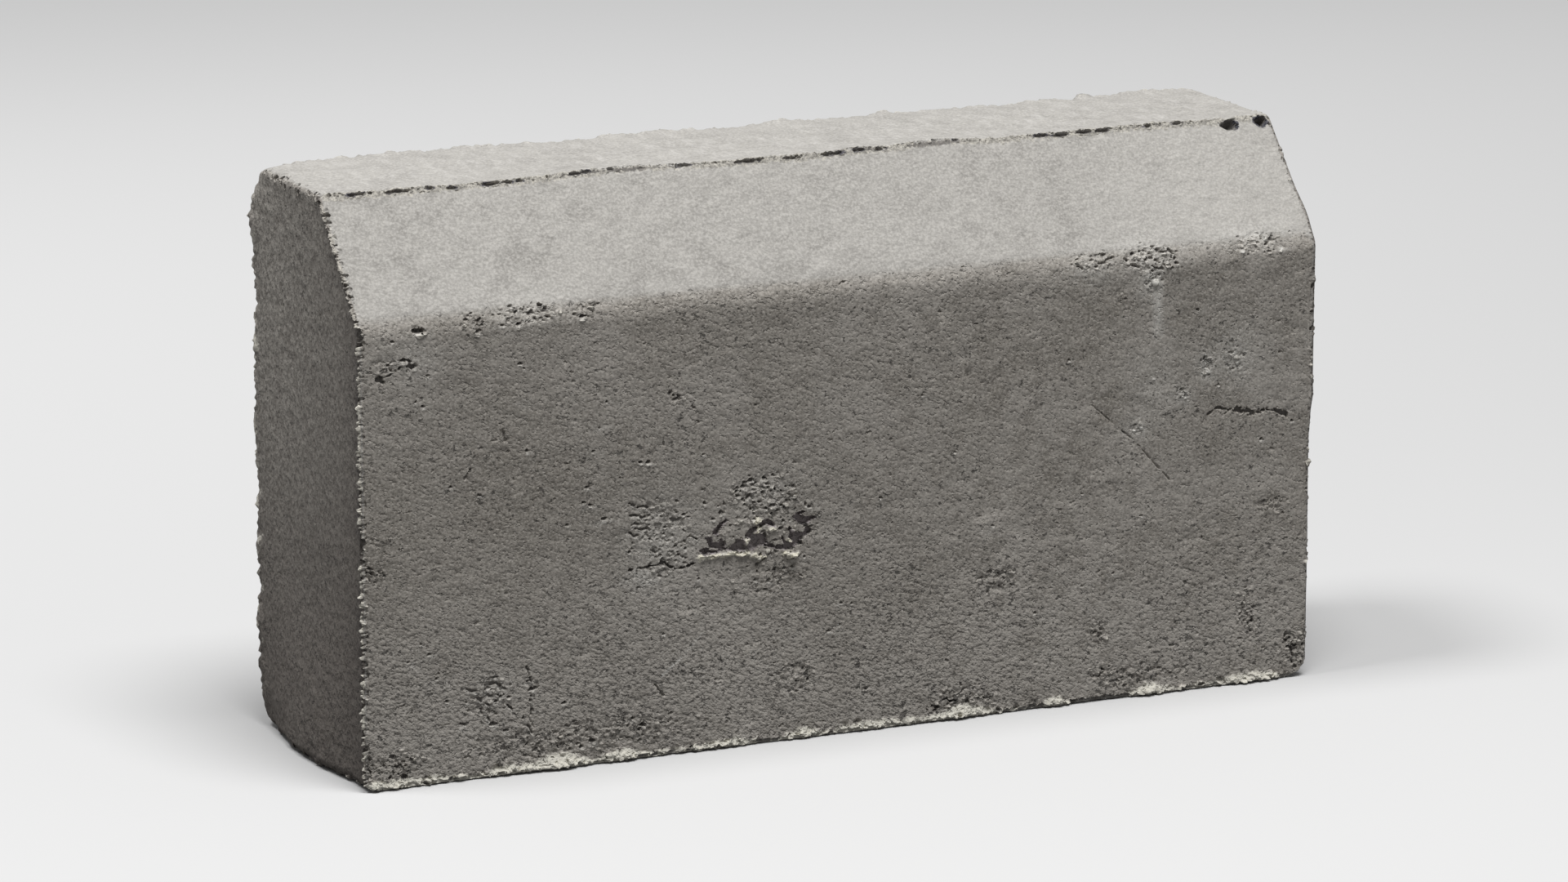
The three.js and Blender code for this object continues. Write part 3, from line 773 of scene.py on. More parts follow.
CREVICES = [  # routes of the thin gaps between the torn chips
    [(338.2, 198.8), (340.3, 197.6)], [(348.8, 199.2), (351.8, 199.3)],
    [(352.8, 200.5), (355.6, 201.1)], [(364.2, 197.4), (368.2, 195.8)],
    [(374, 199.6), (377.1, 198), (379, 196.8)], [(374.8, 196.1), (376.7, 194.9), (380.4, 194.1)],
    [(378.9, 201.7), (382.2, 201.8), (385.5, 201.1)], [(383.8, 202.3), (385.5, 200.5)],
    [(122.6, 113.5), (124.8, 112.7)], [(126.4, 111.6), (129.1, 111.7), (130.9, 110.7)],
    [(128.2, 106.7), (129.6, 107.1)], [(123.2, 108), (125, 108.1), (127.2, 107.6), (128.2, 106.7)],
    [(123.7, 103.9), (125.3, 104.7), (126.8, 104.1)], [(125.5, 102.4), (128.2, 101.6), (130.9, 102)],
    [(122, 100.8), (123.6, 100), (125, 98.9), (126.3, 99.2)],
    [(149.7, 95.9), (151.6, 96.2), (154.1, 94.7)], [(145.4, 88.7), (147.5, 87.5)],
    [(133.5, 91.7), (134.9, 90.7)], [(46.7, 40), (49.3, 38.7), (50.7, 38.7)],
    [(54.8, 38.5), (56.5, 39.6), (57.6, 38.5)], [(57.8, 43.6), (60.6, 43.9)],
    [(57.7, 41), (60, 41.1), (62.3, 39.3), (64.6, 38.2)], [(51.6, 35), (53.3, 35.1), (53, 34)],
    [(55, 33), (57, 31.9)], [(61.9, 35.2), (63.4, 35.6)], [(59.3, 33.2), (60.8, 33.3)],
    [(65.1, 31), (67.1, 29)], [(56.1, 26.8), (56.8, 25)], [(57.2, 23.1), (60.4, 23.4)],
    [(43.7, 25.2), (45.7, 24.4)], [(63.5, 19.7), (65.2, 19.9)], [(74.4, 40.4), (76.4, 40.5)],
    [(75.5, 36.4), (76.4, 36.9), (78.4, 37.1)], [(74.5, 20.9), (75.4, 19.3), (76.5, 16.9)],
]
CREVICE_HALF_WIDTH = 0.35
CREVICE_DEPTH = 1.3
RIM_DROP = 1.2  # how far below a crevice its bright rim lies
print(len(CRACKS), "cracks and", len(CREVICES), "crevices")

# %% Measure how near a place is to a crack or a patch
FAR = 999.0  # stands for a distance where there is nothing near
NOT_HERE = -9.0  # stands for how deep inside a mark a point lies that can't have it


def lowered(route, drop):
    return [(x, z - drop) for x, z in route]


def distance_to_route(points, route):
    """The distance of each point from a line through points of (from left, above base), on the front."""
    x, z = points[:, 0] - LEFT, points[:, 2]
    nearest = np.full(len(points), FAR)
    for (x0, z0), (x1, z1) in zip(route, route[1:]):
        run, rise = x1 - x0, z1 - z0
        share = np.clip(((x - x0) * run + (z - z0) * rise) / (run * run + rise * rise), 0, 1)
        nearest = np.minimum(nearest, np.hypot(x - x0 - share * run, z - z0 - share * rise))
    return np.where(points[:, 1] < UPPER_ARRIS, nearest, FAR)


def depth_inside(points, outline):
    """How far each point lies inside an outline, or outside it if negative."""
    x, z = points[:, 0] - LEFT, points[:, 2]
    inside = np.zeros(len(points), dtype=bool)
    for (x0, z0), (x1, z1) in zip(outline, outline[1:] + outline[:1]):
        crossing = x0 + (z - z0) / (z1 - z0 or 1) * (x1 - x0)
        inside ^= ((z0 > z) != (z1 > z)) & (x < crossing)
    away = distance_to_route(points, outline + outline[:1])
    return np.where(inside, away, -away)


def patch_share(points, x, z, half_width, half_height):
    """1 in the middle of a patch, 0 at its rim and negative outside it."""
    off = np.hypot((points[:, 0] - LEFT - x) / half_width, (points[:, 2] - z) / half_height)
    return np.where(points[:, 1] < UPPER_ARRIS, 1 - off, NOT_HERE)


def distance_to_patches(points):
    """Roughly how far each point lies outside the nearest torn patch, crack or the spall."""
    nearest = np.full(len(points), FAR)
    for place in [patch[:4] for patch in TORN_PATCHES] + [SPALL]:
        outside = -patch_share(points, *place) * min(place[2:])
        nearest = np.minimum(nearest, outside)
    for route, half_width, _ in CRACKS + [(route, 0.4, 0) for route in CREVICES]:
        nearest = np.minimum(nearest, distance_to_route(points, route) - half_width - 1.2)
    return nearest


# %% [markdown]
# ## Dividing the skin
#
# The block is first remeshed into even squares. A crumb needs faces a good deal smaller than itself,
# so the faces near edges, cracks, patches, crumbs and holes are halved, and halved again, down to half
# a millimetre, and to a quarter in the spall. A Subdivision modifier would divide everything. After
# each round the points are set back on the clean surface, because the remesh has blunted its edges.

# %% Read and move points as arrays
def places_of(elements, name):
    """Where all points or faces lie, in millimetres, one row of X, Y and Z each."""
    flat = np.empty(len(elements) * 3)
    elements.foreach_get(name, flat)
    return flat.reshape(-1, 3) / MM


def points_of(piece):
    return places_of(piece.data.vertices, "co")


def move_points(piece, points):
    piece.data.vertices.foreach_set("co", (points * MM).ravel())
    piece.data.update()


def box_around(points):
    """The lowest and the highest corner of the box that holds all points, to a tenth of a millimetre."""
    corners = points.min(axis=0), points.max(axis=0)
    return [[round(float(value), 1) for value in corner] for corner in corners]


def tree_of(points):
    """A search tree that finds the points near a place."""
    tree = KDTree(len(points))
    for i, point in enumerate(points.tolist()):
        tree.insert(point, i)
    tree.balance()
    return tree


# %% Choose the faces worth dividing
GRID = 4.0
FINEST = 0.25
EDGE_BANDS = {4: 6, 2: 2.2, 1: 0}  # how near to an edge a face of that size is divided
PATCH_BANDS = {4: 3.2, 2: 1.6, 1: -0.3}  # and how near to a torn patch


def in_the_spall(places):
    """The faces of the spall, which is divided once more than the rest."""
    return (patch_share(places, *SPALL_CORE) > 0) & (places[:, 1] < FRONT + 5)


def near_grains(middles, cell):
    """Which of the faces lie at a crumb or hole that is small beside them."""
    near_one = np.zeros(len(middles), dtype=bool)
    tree = tree_of(middles)
    for middle, radius, stretch in crumbs + [(dent[0], dent[2], dent[4]) for dent in holes]:
        if radius < 1.6 * cell:
            for _, i, _ in tree.find_range(middle, radius * max(1, stretch) + 0.55 * cell):
                near_one[i] = True
    return near_one


def worth_dividing(middles, cell):
    """Which of the faces of that size lie where a smaller one is wanted."""
    if cell == 2 * FINEST:
        return in_the_spall(middles)
    x, y, z = middles.T
    chosen = distance_to_edge(middles) < EDGE_BANDS[cell]
    chosen |= distance_to_patches(middles) < PATCH_BANDS[cell]
    chosen |= (y < FRONT + 1.2 * cell) & (z < 3 + 0.5 * cell)
    chosen |= (under_the_skin(middles) < 1.5 + cell) & (x < LEFT + 1 + 0.5 * cell)
    chosen |= near_grains(middles, cell)
    if cell > 1:
        chosen |= (y > BACK - 14) & (z > TOP - 5)
        chosen |= (y > BACK - 7) & (x < LEFT + 7)
    else:
        chosen &= y < BACK - 12
    return chosen


# %% Divide the skin where small things are shaped
def divide(piece, chosen):
    only(piece)
    bpy.ops.object.mode_set(mode="EDIT")
    bpy.ops.mesh.select_mode(type="FACE")
    bpy.ops.mesh.select_all(action="DESELECT")
    bpy.ops.object.mode_set(mode="OBJECT")
    piece.data.polygons.foreach_set("select", chosen)
    bpy.ops.object.mode_set(mode="EDIT")
    bpy.ops.mesh.subdivide(number_cuts=1)
    bpy.ops.object.mode_set(mode="OBJECT")


def settle(piece):
    """Puts every point back on the clean surface, and keeps the outward direction there."""
    found = [clean_surface.find_nearest(point) for point in points_of(piece)]
    points = np.array([place for place, _, _, _ in found])
    move_points(piece, points)
    return points, np.array([outward for _, outward, _, _ in found])


apply_modifier(kerb, "REMESH", mode="VOXEL", voxel_size=GRID * MM, use_smooth_shade=True)
settle(kerb)
cell = GRID
while cell > FINEST:
    divide(kerb, worth_dividing(places_of(kerb.data.polygons, "center"), cell))
    points, outward = settle(kerb)
    cell /= 2
    print(len(kerb.data.polygons), "faces, the smallest about", cell, "mm")

# %% [markdown]
# ## The slow waves of the skin
#
# No cast face is quite flat. The trowelled top rises and falls, the edges at the back are flaky, the
# upper arris swells, and the foot of the left end sank outwards while the concrete was wet. Each is a
# height over the clean surface, made from soft swells in lists and from noise. Proportional editing
# would do for one of them, but a height for every point can be added up and measured again: the crumbs
# and holes have to drift along with the skin that they sit in.

# %% List the swells
BACK_SWELLS = [  # along the back edge of the top: middle from left, half length, rise
    (65, 12, 0.9), (98, 12, 1.0), (146, 10, -0.7), (168, 6, 0.5), (192, 12, 0.5), (226, 6, -0.6),
    (250, 7, 1.1), (300, 4, 0.9), (350, 16, -0.8), (402, 3, 2.9), (432, 24, 0.8),
]
LEFT_SWELLS = [  # up the back edge of the left end: middle above base, half height, how far it stands out
    (28, 4, 0.9), (46, 8, 0.8), (64, 5, -0.7), (82, 4, 0.9), (106, 6, -0.9), (130, 5, 0.5),
    (150, 12, 0.6), (192, 12, -0.8), (226, 5, 1.4),
]
RIGHT_SWELLS = [  # up the front edge of the right end, in the same way
    (211, 7, 1.0), (130, 4, 0.5),
]
SEAM_SWELLS = [  # along the upper arris: middle from left, half length, rise
    (140, 32, 1.6), (215, 18, 0.4), (250, 12, 0.9), (289, 22, 1.9), (338, 14, 0.5), (385, 40, 0.7),
    (450, 12, 0.6),
]


def swelling(places, swells):
    """The soft bumps of a list, added up at each place."""
    return sum(height * np.exp(-(((places - middle) / half) ** 2)) for middle, half, height in swells)


print("the upper arris rises by", round(float(swelling(np.arange(LENGTH), SEAM_SWELLS).max()), 1), "mm")

# %% Lift the upper arris and sink the foot
FOOT_MIDDLE = 64  # behind the front
FOOT_HALF_WIDTH = 46
FOOT_HEIGHT = 85
FOOT_LENGTH = 40
FOOT_SINK = 5.2


def seam_rise(points):
    """How far the upper arris is pushed up there, which fades out over the top and down the splay."""
    over_top = ramp(points[:, 1], UPPER_ARRIS + 16, UPPER_ARRIS)
    up_splay = ramp(points[:, 2], TOP - 9, TOP - 1)
    rise = swelling(points[:, 0] - LEFT, SEAM_SWELLS) + 0.4 * lumps(points, (5, 50, 50), 2.2)
    return over_top * up_splay * rise


def foot_lean(points):
    """How far the sunken foot of the left end stands out there."""
    across = np.clip(1 - ((points[:, 1] - FRONT - FOOT_MIDDLE) / FOOT_HALF_WIDTH) ** 2, 0, 1)
    upwards = (1 + np.cos(np.pi * np.clip(points[:, 2] / FOOT_HEIGHT, 0, 1))) / 2
    inwards = np.clip(1 - (points[:, 0] - LEFT) / FOOT_LENGTH, 0, 1)
    return (FOOT_SINK + 0.8 * lumps(points, 9, 6.6)) * across * upwards * inwards


# %% Add up the slow waves
def slow_waves(points, outward):
    """The unevenness of the cast skin, largest on the trowelled top and along the back edges."""
    x, y, z = points[:, 0] - LEFT, points[:, 1], points[:, 2]
    waves = 0.25 * lumps(points, 45, 3.1) + 0.12 * lumps(points, (18, 18, 13), 5.2)
    on_top = np.maximum(outward[:, 2], 0) ** 4
    waves += on_top * (0.45 * lumps(points, (16, 8, 9), 7.7) + 0.25 * lumps(points, (6, 5, 6), 2.7))
    ragged_back = 0.9 * lumps(points, (6, 9, 6), 6.4) + 1.2 * lumps(points, 2.6, 1.4)
    at_back = ramp(y, BACK - 14, BACK - 5)
    at_top = ramp(z, TOP - 9, TOP - 3)
    flaky_back = at_back * (swelling(x, BACK_SWELLS) + ragged_back)
    waves += at_top * (0.9 * ramp(y, UPPER_ARRIS + 8, BACK - 8) + flaky_back)
    at_left = ramp(x, 9, 2) * ramp(z, 2, 18) * ramp(z, TOP - 2, TOP - 14)
    flaky_left = at_back * (swelling(z, LEFT_SWELLS) + ragged_back)
    waves += at_left * (2.1 * ramp(y, BACK - 50, BACK - 8) + flaky_left)
    to_corner = np.sqrt(x**2 + (BACK - y) ** 2 + (TOP - z) ** 2)
    waves -= 2.6 * ramp(to_corner, 17, 5)
    below_back = np.clip(-2 * outward[:, 1] * outward[:, 2], 0, 1) * (y > 0)
    waves -= below_back * ramp(x, 60, 0) * (2.1 + 0.9 * lumps(points, 7, 4.6))
    at_right = ramp(x, LENGTH - 9, LENGTH - 3) * np.maximum(outward[:, 0], 0)
    waves += at_right * (1.5 * ramp(z, 105, 140) + swelling(z, RIGHT_SWELLS))
    return waves


def drift(points, outward):
    """Where the slow waves of the skin carry each point."""
    along_splay = np.array((0, SPLAY_RUN / SPLAY_DROP, 1))
    carried_up = seam_rise(points)[:, None] * along_splay
    carried_left = foot_lean(points)[:, None] * np.array((-1, 0, 0))
    return outward * slow_waves(points, outward)[:, None] + carried_up + carried_left


some = slice(None, None, 50)
highest_wave = slow_waves(points[some], outward[some]).max()
print("the waves lift the skin by up to", round(float(highest_wave), 1), "mm")

# %% [markdown]
# ## Breaking the skin
#
# Broken concrete is neither smooth nor evenly rough: it breaks along the faces of its grains. Smooth
# noise would look melted, so two layers of facets are laid over what is broken, coarse ones and small
# ones. They roughen the torn patches, fray the outlines of hollows and cracks, and decide where a patch
# is deep. All of it is added up as one depth for each point, and the points are moved only once.

# %% Lay facets over what is broken
from_left = points[:, 0] - LEFT
above = points[:, 2]
at_corner = (under_the_skin(points) < 3.5) & (from_left < 2)
at_seam = (np.abs(points[:, 1] - UPPER_ARRIS) < 2.2) & (above > TOP - 2.2)
at_lip = (above < ABOVE_THE_LIP) & (points[:, 1] < FRONT + 2)
touched = np.flatnonzero((distance_to_patches(points) < 2) | at_lip | at_corner | at_seam)


def facets_where_touched(size, shift):
    values = np.zeros(len(points))
    values[touched] = facets(points[touched], size, shift)
    return values


coarse = facets_where_touched((3.2, 3.2, 2.6), 1.7)
small = facets_where_touched((1.7, 1.7, 1.3), 9.1)
print(len(touched), "points of the skin are broken")

# %% Tear the patches
sunk = np.zeros(len(points))
for x, z, half_width, half_height, deep, share_torn in TORN_PATCHES:
    share = patch_share(points, x, z, half_width, half_height)
    torn = 0.45 * coarse + 0.75 * small + 0.7 * np.minimum(share, 0.5) - 1.2 * (1 - share_torn)
    pits_there = 0.6 * deep * ramp(torn, 0.6, 1.0)
    relief = ramp(share, -0.1, 0.4) * (0.8 * coarse + 0.5 * small)
    sunk = np.where(share > -0.2, np.maximum(sunk, pits_there + relief), sunk)
print("the patches are torn up to", round(float(sunk.max()), 1), "mm deep")

# %% Break out the hollows and open the cracks
def cut_along(route, half_width, deep, margins):
    """Lowers the skin along a route, with steep walls between the two margins."""
    away = distance_to_route(points, route) - half_width
    return np.maximum(sunk, deep * (1 - ramp(away, *margins)))


ragged = 0.35 * coarse + 0.4 * small
ragged[touched] += 0.35 * lumps(points[touched], 0.7, 3.3)
inside_hollows = np.max([depth_inside(points, outline) for outline in HOLLOWS], axis=0)
bottom = SPALL_DEPTH * (1 + 0.15 * small)
sunk = np.maximum(sunk, bottom * ramp(inside_hollows + ragged, -0.2, 0.3))
for route, half_width, deep in CRACKS:
    sunk = cut_along(route, half_width * (0.8 + 1.4 * coarse + 1.2 * small), deep, (-0.2, 0.3))
print("the hollows are up to", round(float(sunk.max()), 1), "mm deep")

# %% Raise the ledges and the rims of the crevices
for route in CREVICES:
    sunk = cut_along(route, CREVICE_HALF_WIDTH * (1 + coarse + small), CREVICE_DEPTH, (-0.1, 0.35))
    sunk -= 0.45 * (1 - ramp(distance_to_route(points, lowered(route, RIM_DROP)), 0.2, 0.9))
for route in LEDGES:
    away = distance_to_route(points, route)
    sunk -= (1.1 + 0.9 * small) * (1 - ramp(away + 0.6 * coarse + 0.4 * small, 0.3, 1.4))
facing_front = ramp(np.maximum(-outward[:, 1], 0), 0.5, 0.7)
sunk *= facing_front
sunk[at_seam] += 0.35 * small[at_seam] + 0.3 * coarse[at_seam]
print("the ledges stand out by up to", round(float(-sunk.min()), 1), "mm")

# %% Pull out the lip
def lip_lift(i):
    """How high the ragged underside of the lip hangs over the ground there."""
    x = from_left[i]
    lift = 0.2 + 2.4 * abs(noise.noise((x / 4, 1.9, 0))) + 2 * abs(noise.noise((x / 1.6, 4.9, 0)))
    return lift + 0.9 * max(0, small[i])


at_foot = (above < ABOVE_THE_LIP) & (points[:, 1] < FRONT + 1.5)
for i in np.flatnonzero(at_foot):
    rise = lip_rise(from_left[i]) + 0.9 * coarse[i] + 0.6 * small[i]
    if rise > above[i]:
        reach = lip_reach(from_left[i]) * (1 + 0.3 * small[i])
        sunk[i] -= reach * (1 - above[i] / rise) ** 1.2 * min(1, 0.1 + above[i] / lip_lift(i))
print("the lip stands out by up to", round(float(-sunk.min()), 1), "mm")

# %% Move the skin
direction = np.where(at_foot[:, None], [tuple(FORWARD)], outward)
points = points + drift(points, outward) - direction * sunk[:, None]
fin = ramp(under_the_skin(points), 2.6, 0.9) * ramp(from_left, 2.0, 0.6) * ramp(above, TOP, TOP - 5)
points[:, 0] -= fin * np.maximum(0, 0.9 + 1.3 * small + 0.6 * coarse)
print("the skin now reaches from", *box_around(points), "mm")

# %% [markdown]
# ## Pressing the grains through
#
# Each crumb and each hole now meets the skin. Balls would leave round dimples, so a grain is a ball
# with a dozen flats cut on it, and thirty such grains are used in turn. A hole lowers the points inside
# its outline to its bottom. A crumb moves the points inside it out to its surface. Booleans would do
# the same, but thousands of them would take hours and leave slivers.

# %% Shape the grains
GRAINS = 30
FLATS = 12
ROUNDEST = 1.15  # how far a corner of a grain may stand out, in radii


def grain_shape(dice):
    """A random stone one unit in radius: a ball with flats cut on it."""
    flats = np.array([dice.gauss(0, 1) for _ in range(3 * FLATS)]).reshape(-1, 3)
    flats /= np.linalg.norm(flats, axis=1)[:, None]
    return flats, np.array([dice.uniform(0.6, 1.0) for _ in flats])


def grain_radius(arms, shape):
    """The distance from a stone's middle to its surface along each arm."""
    flats, distances = shape
    facing = np.maximum(arms @ flats.T, 1e-3)
    return np.minimum(ROUNDEST, (distances / facing).min(axis=1))


shape_dice = random.Random(8)
GRAIN_SHAPES = [grain_shape(shape_dice) for _ in range(GRAINS)]
print(len(GRAIN_SHAPES), "shapes of grain")

# %% Press holes in and push crumbs out
def near(tree, middle, reach):
    return np.array([i for _, i, _ in tree.find_range(middle, reach)], dtype=int)


def widening(stretch):
    return np.array((stretch, 1, 1)) if stretch > 1 else np.array((1, 1, 1 / stretch))


def press_in(place, outward, radius, deep, stretch, shape):
    """Lowers the points inside a hole to its bottom, which on the front slopes out at its foot."""
    widen = widening(stretch)
    found = near(skin, place, 1.2 * max(deep, radius * widen.max()))
    if not len(found):
        return
    arms = points[found] - np.array(place)
    standing = arms @ np.array(outward)
    flat_arms = (arms - standing[:, None] * np.array(outward)) / widen
    lengths = np.maximum(np.linalg.norm(flat_arms, axis=1), 1e-6)
    share = lengths / (radius * grain_radius(flat_arms / lengths[:, None], shape))
    lean = np.clip(1 + 0.75 * flat_arms[:, 2] / radius, 0.2, 2) if abs(outward[1]) > 0.5 else 1
    bottom = -deep * lean * np.sqrt(np.clip(1 - share**3, 0, 1))
    lower = (share < 1) & (standing > bottom)
    points[found[lower]] += (bottom - standing)[lower, None] * np.array(outward)


def push_out(middle, radius, stretch, shape):
    """Moves the points inside a grain out to its surface."""
    widen = widening(stretch)
    found = near(skin, middle, radius * widen.max() * ROUNDEST)
    if not len(found):
        return
    arms = (points[found] - np.array(middle)) / widen
    lengths = np.maximum(np.linalg.norm(arms, axis=1), 1e-6)
    arms /= lengths[:, None]
    wanted = radius * grain_radius(arms, shape)
    inside = lengths < wanted
    points[found[inside]] = np.array(middle) + arms[inside] * wanted[inside, None] * widen


# %% Press all of them through the skin
def carried(places):
    """The places of crumbs or holes after they have drifted with the skin."""
    skin_there = [clean_surface.find_nearest(place) for place in places]
    under = np.array([place for place, _, _, _ in skin_there])
    return np.array(places) + drift(under, np.array([outward for _, outward, _, _ in skin_there]))


skin = tree_of(points)
for i, (place, dent) in enumerate(zip(carried([dent[0] for dent in holes]), holes)):
    press_in(place, *dent[1:], GRAIN_SHAPES[i % GRAINS])
for i, (middle, grain) in enumerate(zip(carried([grain[0] for grain in crumbs]), crumbs)):
    push_out(middle, *grain[1:], GRAIN_SHAPES[i % GRAINS])
points[:, 2] = np.maximum(points[:, 2], 0)
move_points(kerb, points)
print("the block now reaches from", *box_around(points), "mm")

# %% [markdown]
# ## Thinning the mesh
#
# The skin now has more faces than its calm parts need. Deleting them by hand would leave gaps, while
# Decimate joins first what changes the shape least, so the broken places keep theirs. Smooth shading
# suits the worn skin but makes broken edges look melted, so edges that turn sharply are marked.

# %% Thin the mesh and mark its breaks
TRIANGLES = 196_000
BREAK_ANGLE = 32


def mark_breaks(piece, degrees):
    """Marks the edges sharper than that angle, so that broken edges look broken and not melted."""
    only(piece)
    bpy.ops.object.mode_set(mode="EDIT")
    bpy.ops.mesh.select_mode(type="EDGE")
    bpy.ops.mesh.select_all(action="DESELECT")
    bpy.ops.mesh.edges_select_sharp(sharpness=math.radians(degrees))
    bpy.ops.mesh.mark_sharp()
    bpy.ops.object.mode_set(mode="OBJECT")


apply_modifier(kerb, "TRIANGULATE")
print(len(kerb.data.polygons), "triangles before thinning")
apply_modifier(kerb, "DECIMATE", ratio=TRIANGLES / len(kerb.data.polygons))
kerb.name = "cast_kerb"
kerb.data.name = "cast_kerb"
bpy.ops.object.shade_smooth()
mark_breaks(kerb, BREAK_ANGLE)
print(len(kerb.data.polygons), "triangles after it")

# %% [markdown]
# ## Painting what the shader needs to know
#
# The colour of concrete follows its wear. Grout is pale and bared grains are bright. Some measures are
# there for painted light: what lies deep, the seam's gaps and the strip behind the fin are painted dark
# as shade, and the rims below pits and crevices get painted highlights. A shader can't measure these by
# itself, and a painted image would have to be unwrapped and would blur close up. So each measure is
# stored as an attribute, one number for each point, which the shader reads by its name.

# %% List the chalky rings and the dark clouds
CHALK = [  # chalky rings round worn spots: from left, above base, half width, half height, strength
    (374, 190, 5, 6, 1.0),
    (418, 152, 11, 13, 0.6),
    (403, 148, 4, 7, 0.9),
    (391.5, 135, 4, 4, 0.8),
    (368.5, 122.5, 6, 4, 0.7),
    (377, 142, 12, 16, 0.35),
    (137, 97, 15, 19, 0.5),
    (190, 112, 15, 9, 0.45),
    (346, 197, 12, 7, 0.6),
    (374, 199, 14, 7, 0.7),
    (427, 203, 17, 6, 0.4),
    (24, 186, 12, 9, 0.4),
    (76, 200, 20, 6, 0.4),
    (61, 38, 10, 8, 0.3),
    (129, 80, 9, 5, 0.75),
]
SOOT = [  # broad darker clouds, written down in the same way
    (45, 115, 75, 60, 0.5),
    (235, 60, 45, 28, 0.4),
    (348, 170, 20, 28, 0.4),
    (405, 64, 30, 18, 0.3),
]
print(len(CHALK), "chalky rings and", len(SOOT), "dark clouds")

# %% Measure wear, marks and the seam's gaps for painted shade
def height_over_clean(points):
    """How far each point stands over the clean block, in millimetres, or below it if negative."""
    heights = []
    for point in points:
        place, normal, _, away = clean_surface.find_nearest(point)
        heights.append(math.copysign(away, (Vector(point) - place).dot(normal)))
    return np.array(heights)


def blobs(marks):
    """How strongly soft round marks on the front cover each point."""
    cover = np.zeros(len(points))
    for x, z, half_width, half_height, strength in marks:
        off = np.hypot((from_left - x) / half_width, (above - z) / half_height)
        cover = np.maximum(cover, strength * np.exp(-(off**2)) * on_front)
    return cover


def gap_shade_cover(points):
    """How deep each point lies inside one of the seam's gaps, where shade is painted, in millimetres."""
    cover = np.full(len(points), -5.0)
    tree = tree_of(points)
    for middle, (_, radius, stretch) in zip(carried([stone[0] for stone in shaded_gaps]), shaded_gaps):
        for _, i, _ in tree.find_range(middle, radius * stretch + 3):
            arm = (points[i] - middle) / (stretch, 1, 1)
            cover[i] = max(cover[i], radius * 1.1 - np.linalg.norm(arm))
    return cover


points = points_of(kerb)
outward = np.array([clean_surface.find_nearest(point)[1] for point in points])
from_left = points[:, 0] - LEFT
above = points[:, 2]
on_front = points[:, 1] < FRONT + 12
print(int(on_front.sum()), "of", len(points), "points lie on the front")

# %% Measure the pale ledges and chips
pale = np.full(len(points), NOT_HERE)
for route in LEDGES:
    pale = np.maximum(pale, 1.1 - distance_to_route(points, route))
beside_ledges = np.flatnonzero(pale > -1)
pale[beside_ledges] += 1.3 * facets(points[beside_ledges], (2.2, 2.2, 1.5), 4.2)

chip = np.full(len(points), NOT_HERE)
for x, z, radius in CHIPS:
    chip = np.maximum(chip, 0.9 * radius - np.hypot(from_left - x, above - z))
chip[points[:, 1] > FRONT + 12] = NOT_HERE
print(int((pale > 0).sum()), "points on pale ledges and", int((chip > 0).sum()), "on chips")

# %% Measure the chalk, the painted highlights on the rims and the torn skin
chalk_and_highlight = blobs(CHALK + [(x, z, 1.1 * radius, 1.1 * radius, 1.0) for x, z, radius in CHIPS])
# painted highlight: a pale spot on the raised rim below each pit
for x, z, radius, stretch in PITS:
    sideways = (from_left - x - 0.2 * radius) / (radius * stretch)
    upwards = (above - z + 1.1 * radius) / (0.6 * radius)
    chalk_and_highlight = np.maximum(chalk_and_highlight, 0.8 * np.exp(-(np.hypot(sideways, upwards) ** 2)) * on_front)
# painted highlight: a pale line on the raised rim below each crevice
for route in CREVICES:
    rim = 1 - ramp(distance_to_route(points, lowered(route, RIM_DROP)), 0.3, 1.1)
    chalk_and_highlight = np.maximum(chalk_and_highlight, 0.6 * rim)
torn = np.zeros(len(points))
for x, z, half_width, half_height, _, share_torn in TORN_PATCHES:
    share = patch_share(points, x, z, half_width, half_height)
    torn = np.maximum(torn, share_torn * ramp(share, 0, 0.5))
print(int((chalk_and_highlight > 0.1).sum()), "chalky points and", int((torn > 0.1).sum()), "torn ones")

# %% Measure the grout, the seam and the shade of the fin
lip_heights = np.array([lip_rise(x) for x in from_left])
grout = np.where((points[:, 1] < FRONT + 1) & (above < 12), lip_heights - above, NOT_HERE)
before_top = (points[:, 1] < UPPER_ARRIS + 1.2) & (outward[:, 0] > -0.6)
seam = np.where(before_top, above - seam_rise(points) - (TOP - 2.5), NOT_HERE)
behind = under_the_skin(points)
behind_fin = np.minimum(ramp(behind, 5, 2.5), ramp(from_left, 1, 0.2)) * (behind > 1.2)
print(int((grout > 0).sum()), "points of grout and", int((seam > 0).sum()), "of the seam")

# %% Paint the measures on the block
def paint(name, values):
    layer = kerb.data.attributes.new(name, "FLOAT", "POINT")
    layer.data.foreach_set("value", np.asarray(values, dtype=float))


on_top = ramp(outward[:, 2], 0.7, 0.85)
on_end = ramp(-outward[:, 0], 0.05, 0.4)
moved = slow_waves(points, outward) + seam_rise(points) * on_top + foot_lean(points) * on_end
paint("wear", height_over_clean(points) - moved)
# where the seam's gaps are, for the shade painted inside them
paint("stone", gap_shade_cover(points))
paint("pale", pale)
paint("chip", chip)
paint("hollow", np.max([depth_inside(points, outline) for outline in HOLLOWS], axis=0))
paint("grout", grout)
paint("seam", seam)
paint("shade", behind_fin)
paint("end", np.abs(outward[:, 0]))
paint("upright", np.abs(outward[:, 1]))
paint("top", np.maximum(outward[:, 2], 0))
paint("chalk_and_highlight", chalk_and_highlight)
paint("soot", blobs(SOOT))
paint("torn", torn)
print(len(kerb.data.attributes), "attributes on the block")

